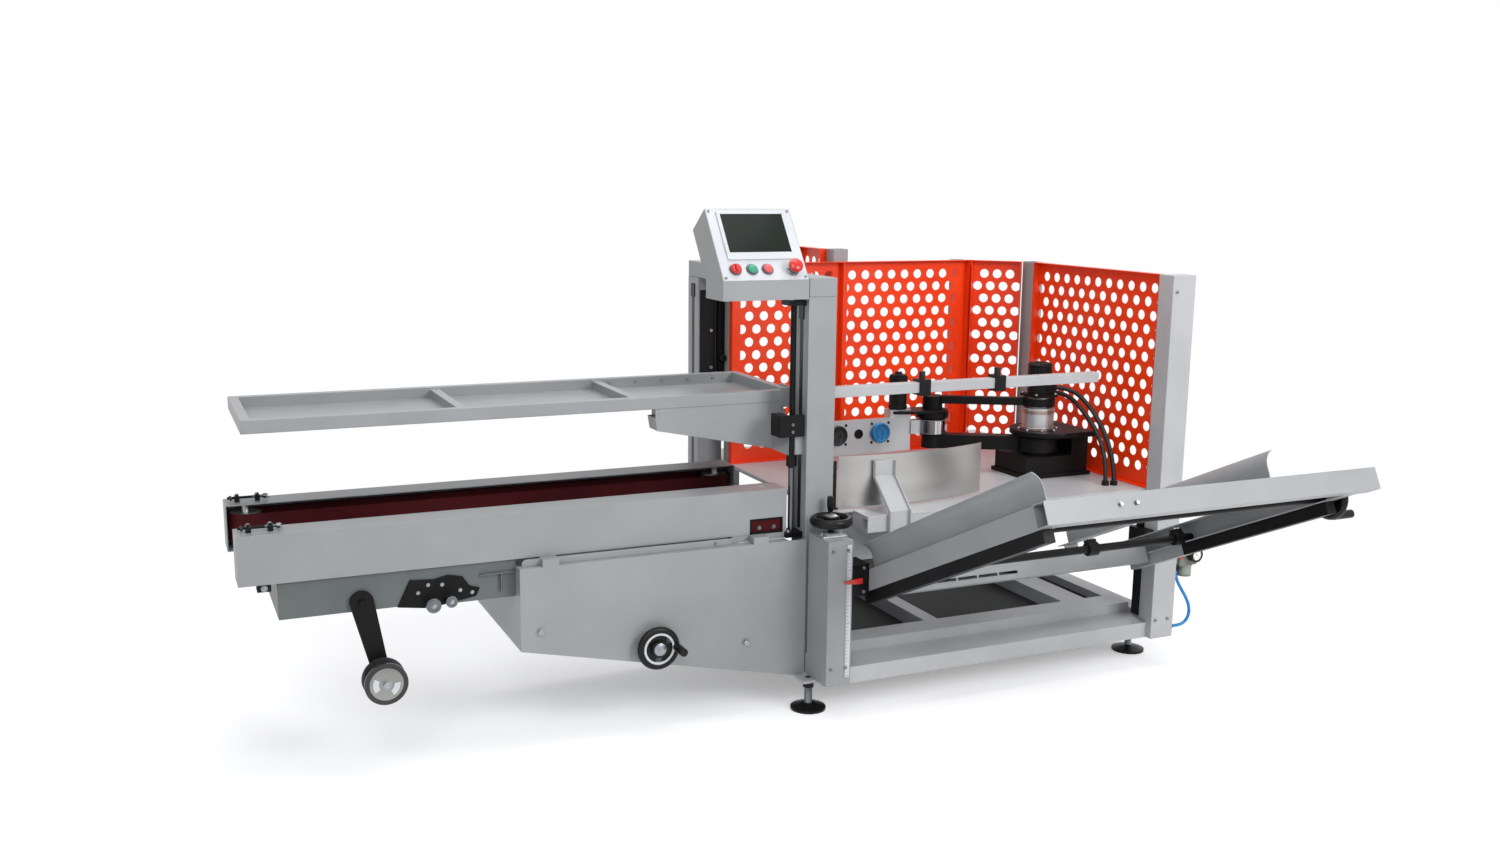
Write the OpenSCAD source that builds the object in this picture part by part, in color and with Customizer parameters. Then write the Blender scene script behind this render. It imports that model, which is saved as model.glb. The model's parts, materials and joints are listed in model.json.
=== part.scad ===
// Carton erector: opens flat carton blanks from a sloping magazine, squares them on a
// perforated-guard work deck and carries them out between two side belts over a tape head.
// Millimetres, +Z up, +X from the outfeed end to the magazine end, +Y away from the operator.
// The origin is the centre of the front left levelling foot, on the floor.

/* [Base] */
// Height of the base frame's underside above the floor
base_z = 92; // [70:1:130]
// Length of the base between the outer faces of its end members
base_l = 1191; // [1100:1:1300]
// Depth of the base from the front rail to the back
base_d = 1100; // [1000:1:1200]
// Side of the square tube of the base
tube_w = 60; // [50:1:70]
// Wall of the square tubes
tube_t = 4; // [3:0.5:6]
// Height of the front rail
rail_h = 47; // [35:1:60]
// Diameter of a levelling foot's disc
foot_d = 100; // [80:1:120]
// Height of the deck's top face
deck_z = 550; // [520:1:580]
// Thickness of the deck plate
deck_t = 6; // [4:0.5:10]

/* [Posts and portal] */
// Width of the left ruler post
post_w = 75; // [65:1:85]
// Depth of the left ruler post
post_d = 118; // [100:1:130]
// Top of the left ruler post
post_top = 503; // [480:1:520]
// Width of the right guard column
column_w = 84; // [75:1:95]
// Depth of the right guard column
column_d = 63; // [55:1:75]
// Top of the guards and of their column
guard_top = 1199; // [1100:1:1260]
// Side of the square portal columns
portal_w = 84; // [75:1:90]
// Clear distance between the portal columns
portal_gap = 706; // [690:1:730]
// Height of the portal columns' tops
portal_z = 1151; // [1110:1:1180]
// Height of the beam on the portal
portal_beam_h = 51; // [45:1:75]

/* [Side box and belts] */
// Length of the cantilevered side box
box_l = 811; // [760:1:860]
// Depth of the side box
box_d = 480; // [460:1:520]
// Top of the side box
box_top = 483; // [470:1:490]
// Underside of the side box at its outer end
box_low = 264; // [240:1:290]
// Sheet of the side box and of the covers
sheet_t = 3; // [2:0.5:4]
// Length of the belt covers
cover_l = 1431; // [1380:1:1480]
// Width of a belt cover
cover_w = 88; // [80:1:96]
// Height of a belt cover
cover_h = 122; // [112:1:132]
// Underside of the belt covers
cover_z = 502; // [500:1:515]
// Clear width between the two belt covers
lane_w = 254; // [240:1:280]
// Height of a side belt
belt_h = 70; // [55:1:85]
// Thickness of a side belt
belt_t = 5; // [3:0.5:8]
// Diameter of the belt pulleys
pulley_d = 76; // [60:1:80]

/* [Top tray] */
// Length of the top tray
tray_l = 1469; // [1400:1:1500]
// Depth of the top tray
tray_d = 410; // [380:1:440]
// Height of the tray's frame
tray_h = 33; // [28:1:40]
// Underside of the tray
tray_z = 849; // [830:1:870]

/* [Magazine] */
// Slope of the magazine above level
mag_slope = 25; // [22:0.5:28]
// Length of the magazine along its slope
mag_l = 920; // [860:1:960]
// Left face of the magazine frame
mag_x = 130; // [125:1:140]
// Length of the outer beam along X
mag_w = 995; // [950:1:1020]
// Depth of a side channel square to the slope
mag_h = 56; // [48:1:64]
// Height of the guide rails' walls
guide_h = 72; // [60:1:90]

/* [Guards] */
// Diameter of the holes in the guards
hole_d = 30; // [24:1:34]
// Nominal distance between holes along a row
hole_pitch = 52; // [46:1:60]
// Distance between rows of holes
hole_row = 42; // [38:1:50]
// Sheet of the guards
guard_t = 2; // [1.5:0.5:4]
// Depth of the flange round a guard
guard_rim = 26; // [20:1:32]

/* [Swing unit] */
// Distance of the swing axis from the left face of the base
pivot_x = 938; // [900:1:980]
// Distance of the swing axis behind the front rail
pivot_y = 370; // [350:1:400]
// Length of the swing arms between their pins
arm_l = 334; // [320:1:350]
// Turn of the arms at rest towards the back guards
arm_turn = 29; // [24:1:34]

/* [Hand wheels and reel] */
// Diameter of the hand wheels
wheel_d = 118; // [100:1:125]
// Diameter of the tape reel
reel_d = 106; // [90:1:120]

/* [Hidden] */
$fn = 48;

clearance = 0.3;

// Places along X
post_x = 5;
base_x0 = post_x;
base_x1 = base_x0 + base_l;
column_x = base_x1 - column_w;
portal_x = base_x0 - 5;

// Places along Y
rail_y = -91;
post_y = rail_y - 4;
column_y = rail_y - 22;
base_y1 = rail_y + base_d;
portal_y = 38;
portal_rear_y = portal_y + portal_w + portal_gap;
beam_y = column_y + column_d;
deck_y = beam_y;

// Notch in the deck round the height wheel
wheel_x = post_x + post_w / 2;
wheel_y = post_y + post_d / 2;
notch_gap = 12;
notch_x1 = wheel_x + wheel_d / 2 + 4 * notch_gap;
notch_y1 = wheel_y + wheel_d / 2 + notch_gap;

// Base frame
sill_x1 = base_x1 - tube_w;
beam_h = 40;
beam_z = deck_z - deck_t - beam_h;
foot_stem_d = 20;
foot_pad_t = 8;
foot_pad_w = tube_w;
rear_foot_y = base_y1 - tube_w / 2;
right_foot_x = base_x1 - tube_w / 2;
right_foot_y = 50;
foot_places = [[0, 0], [right_foot_x, right_foot_y], [0, rear_foot_y], [right_foot_x, rear_foot_y]];

// Square hollow tube along +Z standing on its base corner
module tube_z(w, d, h, t = tube_t) {
    linear_extrude(h) difference() {
        square([w, d]);
        translate([t, t]) square([w - 2 * t, d - 2 * t]);
    }
}

// Square hollow tube along +X
module tube_x(l, d, h, t = tube_t) {
    rotate([90, 0, 90]) tube_z(d, h, l, t);
}

// Square hollow tube along +Y
module tube_y(w, l, h, t = tube_t) {
    translate([0, l, 0]) rotate([90, 0, 0]) tube_z(w, h, l, t);
}

// Cylinder along +X
module rod_x(d, l) {
    rotate([0, 90, 0]) cylinder(d = d, h = l);
}

// Cylinder along -Y
module rod_front(d, l) {
    rotate([90, 0, 0]) cylinder(d = d, h = l);
}

sill_y = post_y + post_d;
sill_l = base_y1 - sill_y;
upright_h = deck_z - deck_t - base_z - tube_w;
step_d = sill_y - rail_y;
raise_d = 85;
raise_h = 77;
raise_y1 = sill_y + raise_d;
tie_x = [base_x0 + 0.365 * base_l, base_x0 + 0.787 * base_l];
tie_w = [47, 88];
tie_h = 42;
tie_z = base_z + raise_h - tie_h;

// Welded base: front step, raised rail, sills, ties, rear rail, rear uprights and deck beams
module base_frame() {
    color("silver") {
        difference() {
            translate([post_x + post_w, rail_y, base_z]) tube_x(sill_x1 - post_x - post_w, step_d, rail_h);
            translate([column_x, column_y, base_z - 1]) cube([column_w, column_d, rail_h + 2]);
        }
        translate([deck_x, sill_y, base_z]) tube_x(sill_x1 - deck_x, raise_d, raise_h);
        translate([base_x0, sill_y, base_z]) tube_y(tube_w, sill_l, tube_w);
        translate([sill_x1, beam_y, base_z]) tube_y(tube_w, base_y1 - beam_y, tube_w);
        translate([base_x0 + tube_w, base_y1 - tube_w, base_z])
            tube_x(base_l - 2 * tube_w, tube_w, tube_w);
        for (i = [0, 1]) translate([tie_x[i], raise_y1, tie_z])
            tube_y(tie_w[i], base_y1 - tube_w - raise_y1, tie_h);
        for (x = [sill_x1, portal_x + portal_w + tube_w])
            translate([x, base_y1 - tube_w, base_z + tube_w]) tube_z(tube_w, tube_w, upright_h);
        translate([notch_x1, beam_y, beam_z]) tube_x(base_x1 - notch_x1, beam_h, beam_h);
        translate([notch_x1, beam_y + beam_h, beam_z]) tube_y(beam_h, base_y1 - beam_y - beam_h, beam_h);
        translate([deck_x, portal_y + (portal_w - beam_h) / 2, beam_z])
            tube_x(notch_x1 - deck_x, beam_h, beam_h);
        for (p = foot_places) translate([p[0], p[1], base_z - foot_pad_t]) difference() {
            translate([-foot_pad_w / 2, -foot_pad_w / 2, 0]) cube([foot_pad_w, foot_pad_w, foot_pad_t]);
            translate([0, 0, -1]) cylinder(d = foot_stem_d + 2 * clearance, h = foot_pad_t + 2);
        }
    }
}

pan_t = 3;
// Dark floor pan under the ties
module base_pan() {
    color("dimgray") translate([base_x0 + tube_w, raise_y1, tie_z - pan_t])
        cube([base_l - 2 * tube_w, base_y1 - tube_w - raise_y1, pan_t]);
}

foot_disc_h = 16;
foot_rim_h = 7;
// Levelling feet: a domed disc, a threaded stem and a lock nut under the pad
module levelling_feet() {
    color("black") for (p = foot_places) translate([p[0], p[1], 0]) {
        rotate_extrude() polygon([
            [0, 0], [foot_d / 2, 0], [foot_d / 2, foot_rim_h], [foot_stem_d, foot_disc_h],
            [foot_stem_d / 2, foot_disc_h], [foot_stem_d / 2, base_z - 1], [0, base_z - 1]
        ]);
        translate([0, 0, base_z - foot_pad_t - foot_stem_d])
            cylinder(d = 1.7 * foot_stem_d, h = foot_stem_d, $fn = 6);
    }
}

cap_t = 4;
flange_h = 12;
wheel_shaft_d = 20;
wheel_lift = 30;
ruler_t = 1;
ruler_w = 18;

// Left post: folded box post with a cap, a bearing for the height screw and a ruler strip
module left_post() {
    color("silver") {
        translate([post_x, post_y, base_z]) tube_z(post_w, post_d, post_top - base_z - cap_t);
        translate([post_x, post_y, post_top - cap_t]) cube([post_w, post_d, cap_t]);
        translate([wheel_x, wheel_y, post_top]) difference() {
            cylinder(d = 2.6 * wheel_shaft_d, h = flange_h);
            translate([0, 0, 2]) cylinder(d = wheel_shaft_d + 2 * clearance, h = flange_h);
        }
        translate([post_x + post_w - ruler_w - 4, post_y - ruler_t, base_z + 20])
            cube([ruler_w, ruler_t, post_top - base_z - 30]);
    }
}

// Right column: one box column from the base to the top of the guards
module right_column() {
    color("silver") {
        translate([column_x, column_y, base_z]) tube_z(column_w, column_d, guard_top - base_z - cap_t);
        translate([column_x, column_y, guard_top - cap_t]) cube([column_w, column_d, cap_t]);
    }
}

deck_x = portal_x + portal_w;
// Work deck, notched round the height wheel
module deck() {
    color("lightgray") translate([0, 0, deck_z - deck_t]) linear_extrude(deck_t) polygon([
        [notch_x1, deck_y], [base_x1, deck_y], [base_x1, base_y1], [deck_x, base_y1],
        [deck_x, notch_y1], [notch_x1, notch_y1]
    ]);
}

box_x1 = portal_x;
box_x0 = box_x1 - box_l;
box_y = 28;
box_heel = 35;
module box_profile(inset) {
    polygon([
        [box_x0 + inset, box_low + inset], [box_x1 - box_heel, base_z + inset],
        [box_x1 + inset, base_z + inset], [box_x1 + inset, box_top + inset],
        [box_x0 + inset, box_top + inset]
    ]);
}

lane_boss_h = 10;
lane_wheel_x = box_x1 - 447;
lane_wheel_z = 235;
// Side box: folded sheet with a sloping underside, open on top and towards the portal
module side_box() {
    color("silver") {
        translate([0, box_y + box_d, 0]) rotate([90, 0, 0]) difference() {
            linear_extrude(box_d) box_profile(0);
            translate([0, 0, sheet_t]) linear_extrude(box_d - 2 * sheet_t) box_profile(sheet_t);
        }
        translate([lane_wheel_x, box_y, lane_wheel_z]) difference() {
            rod_front(2.2 * wheel_shaft_d, lane_boss_h);
            rod_front(wheel_shaft_d + 2 * clearance, lane_boss_h + 1);
        }
    }
}

portal_foot = base_z + tube_w;
slot_w = 22;
slot_deep = 5;
// Portal columns: square tubes with a guide slot down their outfeed faces
module portal_columns() {
    color("silver") for (y = [portal_y, portal_rear_y]) translate([portal_x, y, portal_foot]) difference() {
        tube_z(portal_w, portal_w, portal_z - portal_foot, 2 * tube_t);
        translate([-1, (portal_w - slot_w) / 2, box_top - portal_foot + 20])
            cube([slot_deep + 1, slot_w, portal_z - box_top - 40]);
    }
}

// Beam across the portal columns
module portal_beam() {
    color("silver") translate([portal_x, portal_y, portal_z])
        tube_y(portal_w, 2 * portal_w + portal_gap, portal_beam_h);
}

screw_d = 16;
screw_foot = 26;
screw_foot_h = 14;
screw_foot_z = box_top + 1;
screw_drop = 10;
bracket_z = tray_z - 142;
screw_x = portal_x - 25;
screw_y = portal_y + portal_w / 2;
screw_top = portal_z - screw_drop - screw_foot_h;
// Lift screw of the tray between a foot block and a bearing plate near the column's top
module tray_screw() {
    color("black") {
        for (z = [screw_foot_z, screw_top]) translate([screw_x - screw_foot, screw_y - screw_foot, z])
            cube([portal_x - screw_x + screw_foot, 2 * screw_foot, screw_foot_h]);
        translate([screw_x, screw_y, screw_foot_z + screw_foot_h])
            cylinder(d = screw_d, h = screw_top - screw_foot_z - screw_foot_h);
    }
}

tray_x1 = portal_x + 22;
tray_x0 = tray_x1 - tray_l;
tray_y = portal_y + portal_w + 40;
tray_rim = 25;
tray_floor_t = 2;
tray_dividers = [0.36, 0.68];
// Top tray: a shallow frame with a sheet floor and two cross dividers
module top_tray() {
    color("silver") translate([tray_x0, tray_y, tray_z]) {
        difference() {
            cube([tray_l, tray_d, tray_h]);
            translate([tray_rim, tray_rim, tray_floor_t])
                cube([tray_l - 2 * tray_rim, tray_d - 2 * tray_rim, tray_h]);
            translate([0, 0, -1]) linear_extrude(tray_h - tray_floor_t + 1) difference() {
                translate([tray_floor_t, tray_floor_t])
                    square([tray_l - 2 * tray_floor_t, tray_d - 2 * tray_floor_t]);
                translate([tray_rim - tray_floor_t, tray_rim - tray_floor_t])
                    square([tray_l, tray_d] - 2 * (tray_rim - tray_floor_t) * [1, 1]);
            }
        }
        for (s = tray_dividers) translate([s * tray_l, tray_rim, tray_floor_t])
            tube_y(tray_rim, tray_d - 2 * tray_rim, tray_h - tray_floor_t - 6, tray_floor_t);
    }
}

bracket_x0 = portal_x - 396;
bracket_top_z = tray_z - 24;
bracket_d = 60;
riser_l = 50;
nut_d = 44;
carriage_h = 62;
carriage_gap = 0.5;
// Side view of the tray bracket's arm, drawn in by inset
module bracket_profile(inset) {
    polygon([
        [bracket_x0 + inset, bracket_top_z - inset], [bracket_x0 + 6 + inset, bracket_top_z - 36 + inset],
        [portal_x - 21 - inset, bracket_z + 6 + inset], [portal_x - 4 - inset, bracket_top_z - inset]
    ]);
}

// Tray bracket: tapered box arm under the tray, slide block on the front column and screw nut
module tray_bracket() {
    color("dimgray") {
        translate([0, tray_y + bracket_d, 0]) rotate([90, 0, 0]) difference() {
            linear_extrude(bracket_d) bracket_profile(0);
            translate([0, 0, sheet_t]) linear_extrude(bracket_d - 2 * sheet_t) bracket_profile(sheet_t);
        }
        for (x = [bracket_x0 + 12, portal_x - 12 - riser_l]) translate([x, tray_y, bracket_top_z])
            cube([riser_l, bracket_d, tray_z - bracket_top_z]);
        translate([screw_x, screw_y, bracket_z + 10]) difference() {
            union() {
                translate([-nut_d / 2, -nut_d / 2, 0])
                    cube([portal_x - screw_x + nut_d / 2 - carriage_gap, nut_d, carriage_h]);
                translate([-nut_d / 2, 0, 0]) cube([nut_d / 2, tray_y - screw_y, carriage_h]);
            }
            translate([0, 0, -1]) cylinder(d = screw_d + 2 * clearance, h = carriage_h + 2);
        }
    }
}

cover_x1 = portal_x - 47;
cover_x0 = cover_x1 - cover_l;
front_cover_y = 60;
rear_cover_y = front_cover_y + cover_w + lane_w;
belt_proud = 4;
belt_off = cover_w + belt_proud - belt_t - pulley_d / 2 - clearance;
belt_end = sheet_t + 4 + belt_t + pulley_d / 2;
belt_lift = (cover_h - belt_h) / 2;
rear_cover_cut = 8;
// Belt cover: sheet channel open towards the lane, in its own corner frame with the lane on +Y
module belt_cover(l) {
    difference() {
        cube([l, cover_w, cover_h]);
        translate([sheet_t, sheet_t, sheet_t]) cube([l - 2 * sheet_t, cover_w, cover_h - 2 * sheet_t]);
    }
}

cover_notch = [100, 43];
notch_end = 11;
cover_bore_d = 24;
// Front cover, notched at its inner end and bored over the inner pulley's shaft
module front_cover() {
    color("silver") translate([cover_x0, front_cover_y, cover_z]) difference() {
        belt_cover(cover_l);
        translate([cover_l - notch_end - cover_notch[0], -1, -1])
            cube([cover_notch[0], sheet_t + 2, cover_notch[1] + 1]);
        translate([cover_l - belt_end, belt_off, cover_h - sheet_t - 1])
            cylinder(d = cover_bore_d, h = sheet_t + 2);
    }
}

// Rear cover, the front one's mirror image
module rear_cover() {
    color("silver") translate([cover_x0, rear_cover_y + cover_w, cover_z]) mirror([0, 1, 0])
        belt_cover(cover_l - rear_cover_cut);
}

pulley_shaft_d = 22;
// Flat outline round two pulleys of diameter d, l apart
module loop(d, l) {
    translate([0, -d / 2]) square([l, d]);
    circle(d = d);
    translate([l, 0]) circle(d = d);
}

// Side belt round its two pulleys
module side_belt(l) {
    translate([belt_end, belt_off, belt_lift]) linear_extrude(belt_h) difference() {
        loop(pulley_d + 2 * clearance + 2 * belt_t, l - 2 * belt_end);
        loop(pulley_d + 2 * clearance, l - 2 * belt_end);
    }
}

module front_belt() {
    color("maroon") translate([cover_x0, front_cover_y, cover_z]) side_belt(cover_l);
}

module rear_belt() {
    color("maroon") translate([cover_x0, rear_cover_y + cover_w, cover_z]) mirror([0, 1, 0])
        side_belt(cover_l - rear_cover_cut);
}

// Pair of pulleys on shafts between a cover's top and bottom sheets
module pulley_pair(l) {
    for (x = [belt_end, l - belt_end]) translate([x, belt_off, 0]) {
        translate([0, 0, belt_lift]) cylinder(d = pulley_d, h = belt_h);
        translate([0, 0, sheet_t]) cylinder(d = pulley_shaft_d, h = cover_h - 2 * sheet_t);
    }
}

module belt_pulleys() {
    color("darkgray") {
        translate([cover_x0, front_cover_y, cover_z]) pulley_pair(cover_l);
        translate([cover_x0, rear_cover_y + cover_w, cover_z]) mirror([0, 1, 0])
            pulley_pair(cover_l - rear_cover_cut);
    }
}

tension_x = [28, 78];
tension_w = 16;
// Belt tensioners: a post and a screw with a wing nut on each cover's outer end
module belt_tensioners() {
    color("black") for (y = [front_cover_y, rear_cover_y])
        translate([cover_x0, y + cover_w / 2, cover_z + cover_h]) {
            for (x = tension_x) translate([x, -tension_w / 2, 0]) cube([tension_w / 2, tension_w, 18]);
            translate([tension_x[0] - 20, 0, 10]) rod_x(7, tension_x[1] - tension_x[0] + 24);
            translate([tension_x[0] - 14, -tension_w, 7]) cube([5, 2 * tension_w, 6]);
        }
}

carrier_w = 44;
carrier_x = [box_x0 + 60, box_x1 - 160];
// Cross carriers between the side box and the belt covers
module belt_carriers() {
    color("gray") for (x = carrier_x) translate([x, box_y, box_top])
        difference() {
            cube([carrier_w, box_d, cover_z - box_top]);
            translate([6, -1, -1]) cube([carrier_w - 12, box_d + 2, cover_z - box_top - 5]);
        }
}

drive_x0 = cover_x0 + 88;
drive_l = 311;
drive_y = front_cover_y + 10;
drive_d = 2 * cover_w + lane_w - 20;
drive_h = 94;
drive_z = cover_z - drive_h;
drive_cut = [30, 35];
// Side view of the drive box, drawn in by inset and open on top
module drive_profile(inset) {
    polygon([
        [inset, inset], [drive_l - drive_cut[0] - inset / 2, inset],
        [drive_l - inset, drive_cut[1] + inset / 2], [drive_l - inset, drive_h + inset],
        [inset, drive_h + inset]
    ]);
}

// Drive box hung under the covers' outer end
module drive_box() {
    color("gray") translate([drive_x0, drive_y + drive_d, drive_z]) rotate([90, 0, 0]) difference() {
        linear_extrude(drive_d) drive_profile(0);
        translate([0, 0, sheet_t]) linear_extrude(drive_d - 2 * sheet_t) drive_profile(sheet_t);
    }
}

tape_t = 6;
tape_drop = 6;
roller_l = 30;
roller_pin_d = 10;
tape_rollers = [[52, 2, 36], [97, 7, 28]];
tape_x0 = drive_x0 + drive_l;
tape_l = box_x0 - tape_x0;
// Tape head: side plate from the drive box to the side box, with press rollers on pins
module tape_head() {
    color("black") {
        translate([tape_x0, drive_y, drive_z - tape_drop])
            cube([tape_l, tape_t, box_top - drive_z + tape_drop]);
        for (r = tape_rollers) translate([tape_x0 + r[0], drive_y, drive_z + r[1]]) {
            rod_front(roller_pin_d, roller_l + 4);
            translate([0, -2, 0]) rod_front(r[2], roller_l);
        }
    }
}

reel_pin_d = 20;
reel_w = 50;
arm_t = 12;
arm_w = 40;
arm_top_w = 58;
reel_x = drive_x0 + 236;
reel_z = drive_z - 173;
arm_top_x = reel_x - 43;
// Tape arm: flat bar from the drive box down to the reel's pin
module tape_arm() {
    color("black") {
        translate([0, drive_y, 0]) rotate([90, 0, 0]) linear_extrude(arm_t) hull() {
            translate([arm_top_x, drive_z + 24]) circle(d = arm_top_w, $fn = 32);
            translate([reel_x, reel_z]) circle(d = arm_w, $fn = 32);
        }
        translate([reel_x, drive_y - arm_t, reel_z]) rod_front(reel_pin_d, reel_w + 6);
    }
}

// Tape reel: hub and two thin rims turning on the arm's pin
module tape_reel() {
    color("gainsboro") translate([reel_x, drive_y - arm_t - 1, reel_z]) rotate([90, 0, 0]) rotate_extrude()
        polygon([
            [reel_pin_d / 2 + clearance, 0], [reel_d / 2, 0], [reel_d / 2, 5], [reel_d / 2 - 12, 7],
            [reel_d / 2 - 12, reel_w - 7], [reel_d / 2, reel_w - 5], [reel_d / 2, reel_w],
            [reel_pin_d / 2 + clearance, reel_w]
        ]);
}

wheel_rim = 20;
wheel_h = 26;
grip_d = 22;
grip_l = 60;
// Hand wheel lying on its hub, axis +Z, with a shaft below and a grip on the rim
module hand_wheel(shaft_l) {
    translate([0, 0, -shaft_l]) cylinder(d = wheel_shaft_d, h = shaft_l + 4);
    cylinder(d = 44, h = wheel_h);
    rotate_extrude() translate([wheel_d / 2 - wheel_rim / 2, wheel_h / 2]) circle(d = wheel_rim);
    translate([0, 0, wheel_h / 2 - 5]) difference() {
        cylinder(d = wheel_d - wheel_rim, h = 8);
        for (a = [30, 150, 270]) rotate(a) translate([wheel_d / 4 + 4, 0, -1]) cylinder(d = 20, h = 10);
    }
    translate([wheel_d / 2 - wheel_rim / 2, 0, wheel_h / 2]) cylinder(d = grip_d, h = grip_l);
}

module height_wheel() {
    color("black") translate([wheel_x, wheel_y, post_top + wheel_lift]) hand_wheel(wheel_lift - 3);
}

lane_wheel_gap = 14;
module lane_wheel() {
    color("black") translate([lane_wheel_x, box_y - lane_wheel_gap, lane_wheel_z]) rotate([90, 0, 0])
        hand_wheel(lane_wheel_gap - 1);
}

hmi_w = 250;
hmi_gap = 5;
hmi_x = portal_x - hmi_w - hmi_gap;
hmi_y = portal_y - 8;
hmi_z = portal_z - 5;
hmi_foot_d = 118;
hmi_sill = 52;
hmi_run = 133;
hmi_rise = 184;
hmi_deep = 100;
hmi_tilt = atan(hmi_run / hmi_rise);
hmi_back_y = hmi_run + hmi_deep * cos(hmi_tilt);
hmi_back_z = hmi_sill + hmi_rise - hmi_deep * sin(hmi_tilt);
hmi_heel = hmi_back_z - (hmi_back_y - hmi_foot_d) * hmi_rise / hmi_run;
// Side view of the operator panel's housing, drawn in by inset
module hmi_profile(inset) {
    polygon([
        [inset, inset], [hmi_foot_d - inset, inset], [hmi_foot_d - inset, hmi_heel + inset],
        [hmi_back_y - 1.3 * inset, hmi_back_z], [hmi_run, hmi_sill + hmi_rise - 1.3 * inset],
        [inset, hmi_sill - inset / 2]
    ]);
}

// Lays its children on the panel's face: X across, Y up the face, Z out of it
module on_hmi_face() {
    translate([hmi_x, hmi_y, hmi_z + hmi_sill]) rotate([90 - hmi_tilt, 0, 0]) children();
}

// Rectangle with rounded corners
module rounded(w, h, r) {
    translate([r, 0]) square([w - 2 * r, h]);
    translate([0, r]) square([w, h - 2 * r]);
    for (x = [r, w - r], y = [r, h - r]) translate([x, y]) circle(r);
}

screen_w = 182;
screen_h = 122;
screen_x = 38;
screen_y = 86;
screen_t = 3;
bezel = [196, 152];
bezel_x = 29;
bezel_y = 65;
bezel_t = 4;
hmi_plate = [70, 40];
// Operator panel housing with a raised screen frame, on a plate from the portal beam
module hmi_box() {
    color("white") {
        translate([hmi_x, hmi_y, hmi_z]) rotate([90, 0, 90]) difference() {
            linear_extrude(hmi_w) hmi_profile(0);
            translate([0, 0, sheet_t]) linear_extrude(hmi_w - 2 * sheet_t) hmi_profile(sheet_t);
        }
        on_hmi_face() linear_extrude(bezel_t) difference() {
            translate([bezel_x, bezel_y]) rounded(bezel[0], bezel[1], 6);
            translate([screen_x - clearance, screen_y - clearance])
                square([screen_w + 2 * clearance, screen_h + 2 * clearance]);
        }
        translate([hmi_x + hmi_w, portal_y, portal_z]) cube([hmi_gap, hmi_plate[0], hmi_plate[1]]);
    }
}

module hmi_screen() {
    color("black") on_hmi_face() translate([screen_x, screen_y, 0]) cube([screen_w, screen_h, screen_t]);
}

button_d = 24;
button_y = 34;
button_x = [42, 90, 135];
button_h = 15;
stop_x = 208;
stop_y = 30;
stop_d = 40;
stop_h = 36;
stop_cap = 16;
// Selector, two push buttons and the stop button under the screen
module hmi_buttons() {
    color("red") on_hmi_face() {
        for (x = button_x) translate([x, button_y, 0]) {
            cylinder(d = 1.25 * button_d, h = button_h / 3);
            cylinder(d = button_d, h = button_h);
        }
        translate([stop_x, stop_y, 0]) {
            cylinder(d = 0.7 * stop_d, h = stop_h - stop_cap);
            translate([0, 0, stop_h - stop_cap]) cylinder(d = stop_d, h = stop_cap);
        }
    }
}

guard_h = guard_top - deck_z;
hole_margin = 18;
hole_top = 45;
// Perforated guard standing in the XZ plane, X from 0 to w, flanges towards -Y; the rim starts at heel
module guard_panel(w, h, heel = 0) {
    field = w - heel - 2 * hole_margin;
    columns = round(field / hole_pitch);
    pitch = field / columns;
    rows = floor((h - hole_top - hole_d) / hole_row);
    rotate([90, 0, 0]) {
        linear_extrude(guard_t) difference() {
            square([w, h]);
            for (r = [0 : rows], c = [0 : columns - (r + 1) % 2])
                translate([heel + hole_margin + (c + ((r + 1) % 2) / 2) * pitch, h - hole_top - r * hole_row])
                    circle(d = hole_d);
        }
        linear_extrude(guard_rim) difference() {
            translate([heel, 0]) square([w - heel, h]);
            translate([heel + guard_t, guard_t]) square([w - heel - 2 * guard_t, h - 2 * guard_t]);
        }
    }
}

back_y = 770;
back_split = deck_x + 400;
back_end = back_split + 488;
side_guard_y1 = 572;
corner_y = 635;
corner_x = column_x - 2;
corner_l = norm([corner_x - back_end, back_y - corner_y]);
corner_turn = atan2(back_y - corner_y, corner_x - back_end);
corner_gap = guard_t * tan(corner_turn) + clearance;

module back_guard_left() {
    color("orangered") translate([deck_x, back_y, deck_z]) guard_panel(back_split - deck_x, guard_h);
}

module back_guard_right() {
    color("orangered") translate([back_split, back_y, deck_z]) guard_panel(back_end - back_split, guard_h);
}

module corner_guard() {
    color("orangered") translate([back_end, back_y, deck_z]) rotate(-corner_turn) translate([corner_gap, 0, 0])
        guard_panel(corner_l - corner_gap, guard_h, (guard_rim - guard_t) * tan(corner_turn));
}

module side_guard() {
    color("orangered") translate([column_x + guard_rim, side_guard_y1, deck_z]) rotate(-90)
        guard_panel(side_guard_y1 - column_y - column_d, guard_h);
}

guard_post_w = 40;
wing_post_w = 54;
wing_x = back_split - wing_post_w / 2;
wing_y = back_y + wing_post_w;
wing_l = 181;
wing_h = guard_h + 40;
// Wing guard running back from the tall post between the two back guards
module rear_guard() {
    color("orangered") translate([wing_x + guard_t, wing_y + wing_l, deck_z]) rotate(-90)
        guard_panel(wing_l, wing_h);
}

// Grey posts that carry the guards
module guard_posts() {
    color("gray") {
        translate([column_x, side_guard_y1, deck_z]) tube_z(guard_post_w, corner_y - side_guard_y1, guard_h);
        for (x = [deck_x, back_end - guard_post_w]) translate([x, back_y, deck_z])
            tube_z(guard_post_w, guard_post_w, guard_h);
        translate([wing_x, back_y, deck_z]) tube_z(wing_post_w, wing_post_w, wing_h);
    }
}

guide_bar_l = 914;
guide_bar_w = 30;
guide_bar_z = 868;
guide_bar_y = portal_y + 20;
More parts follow.
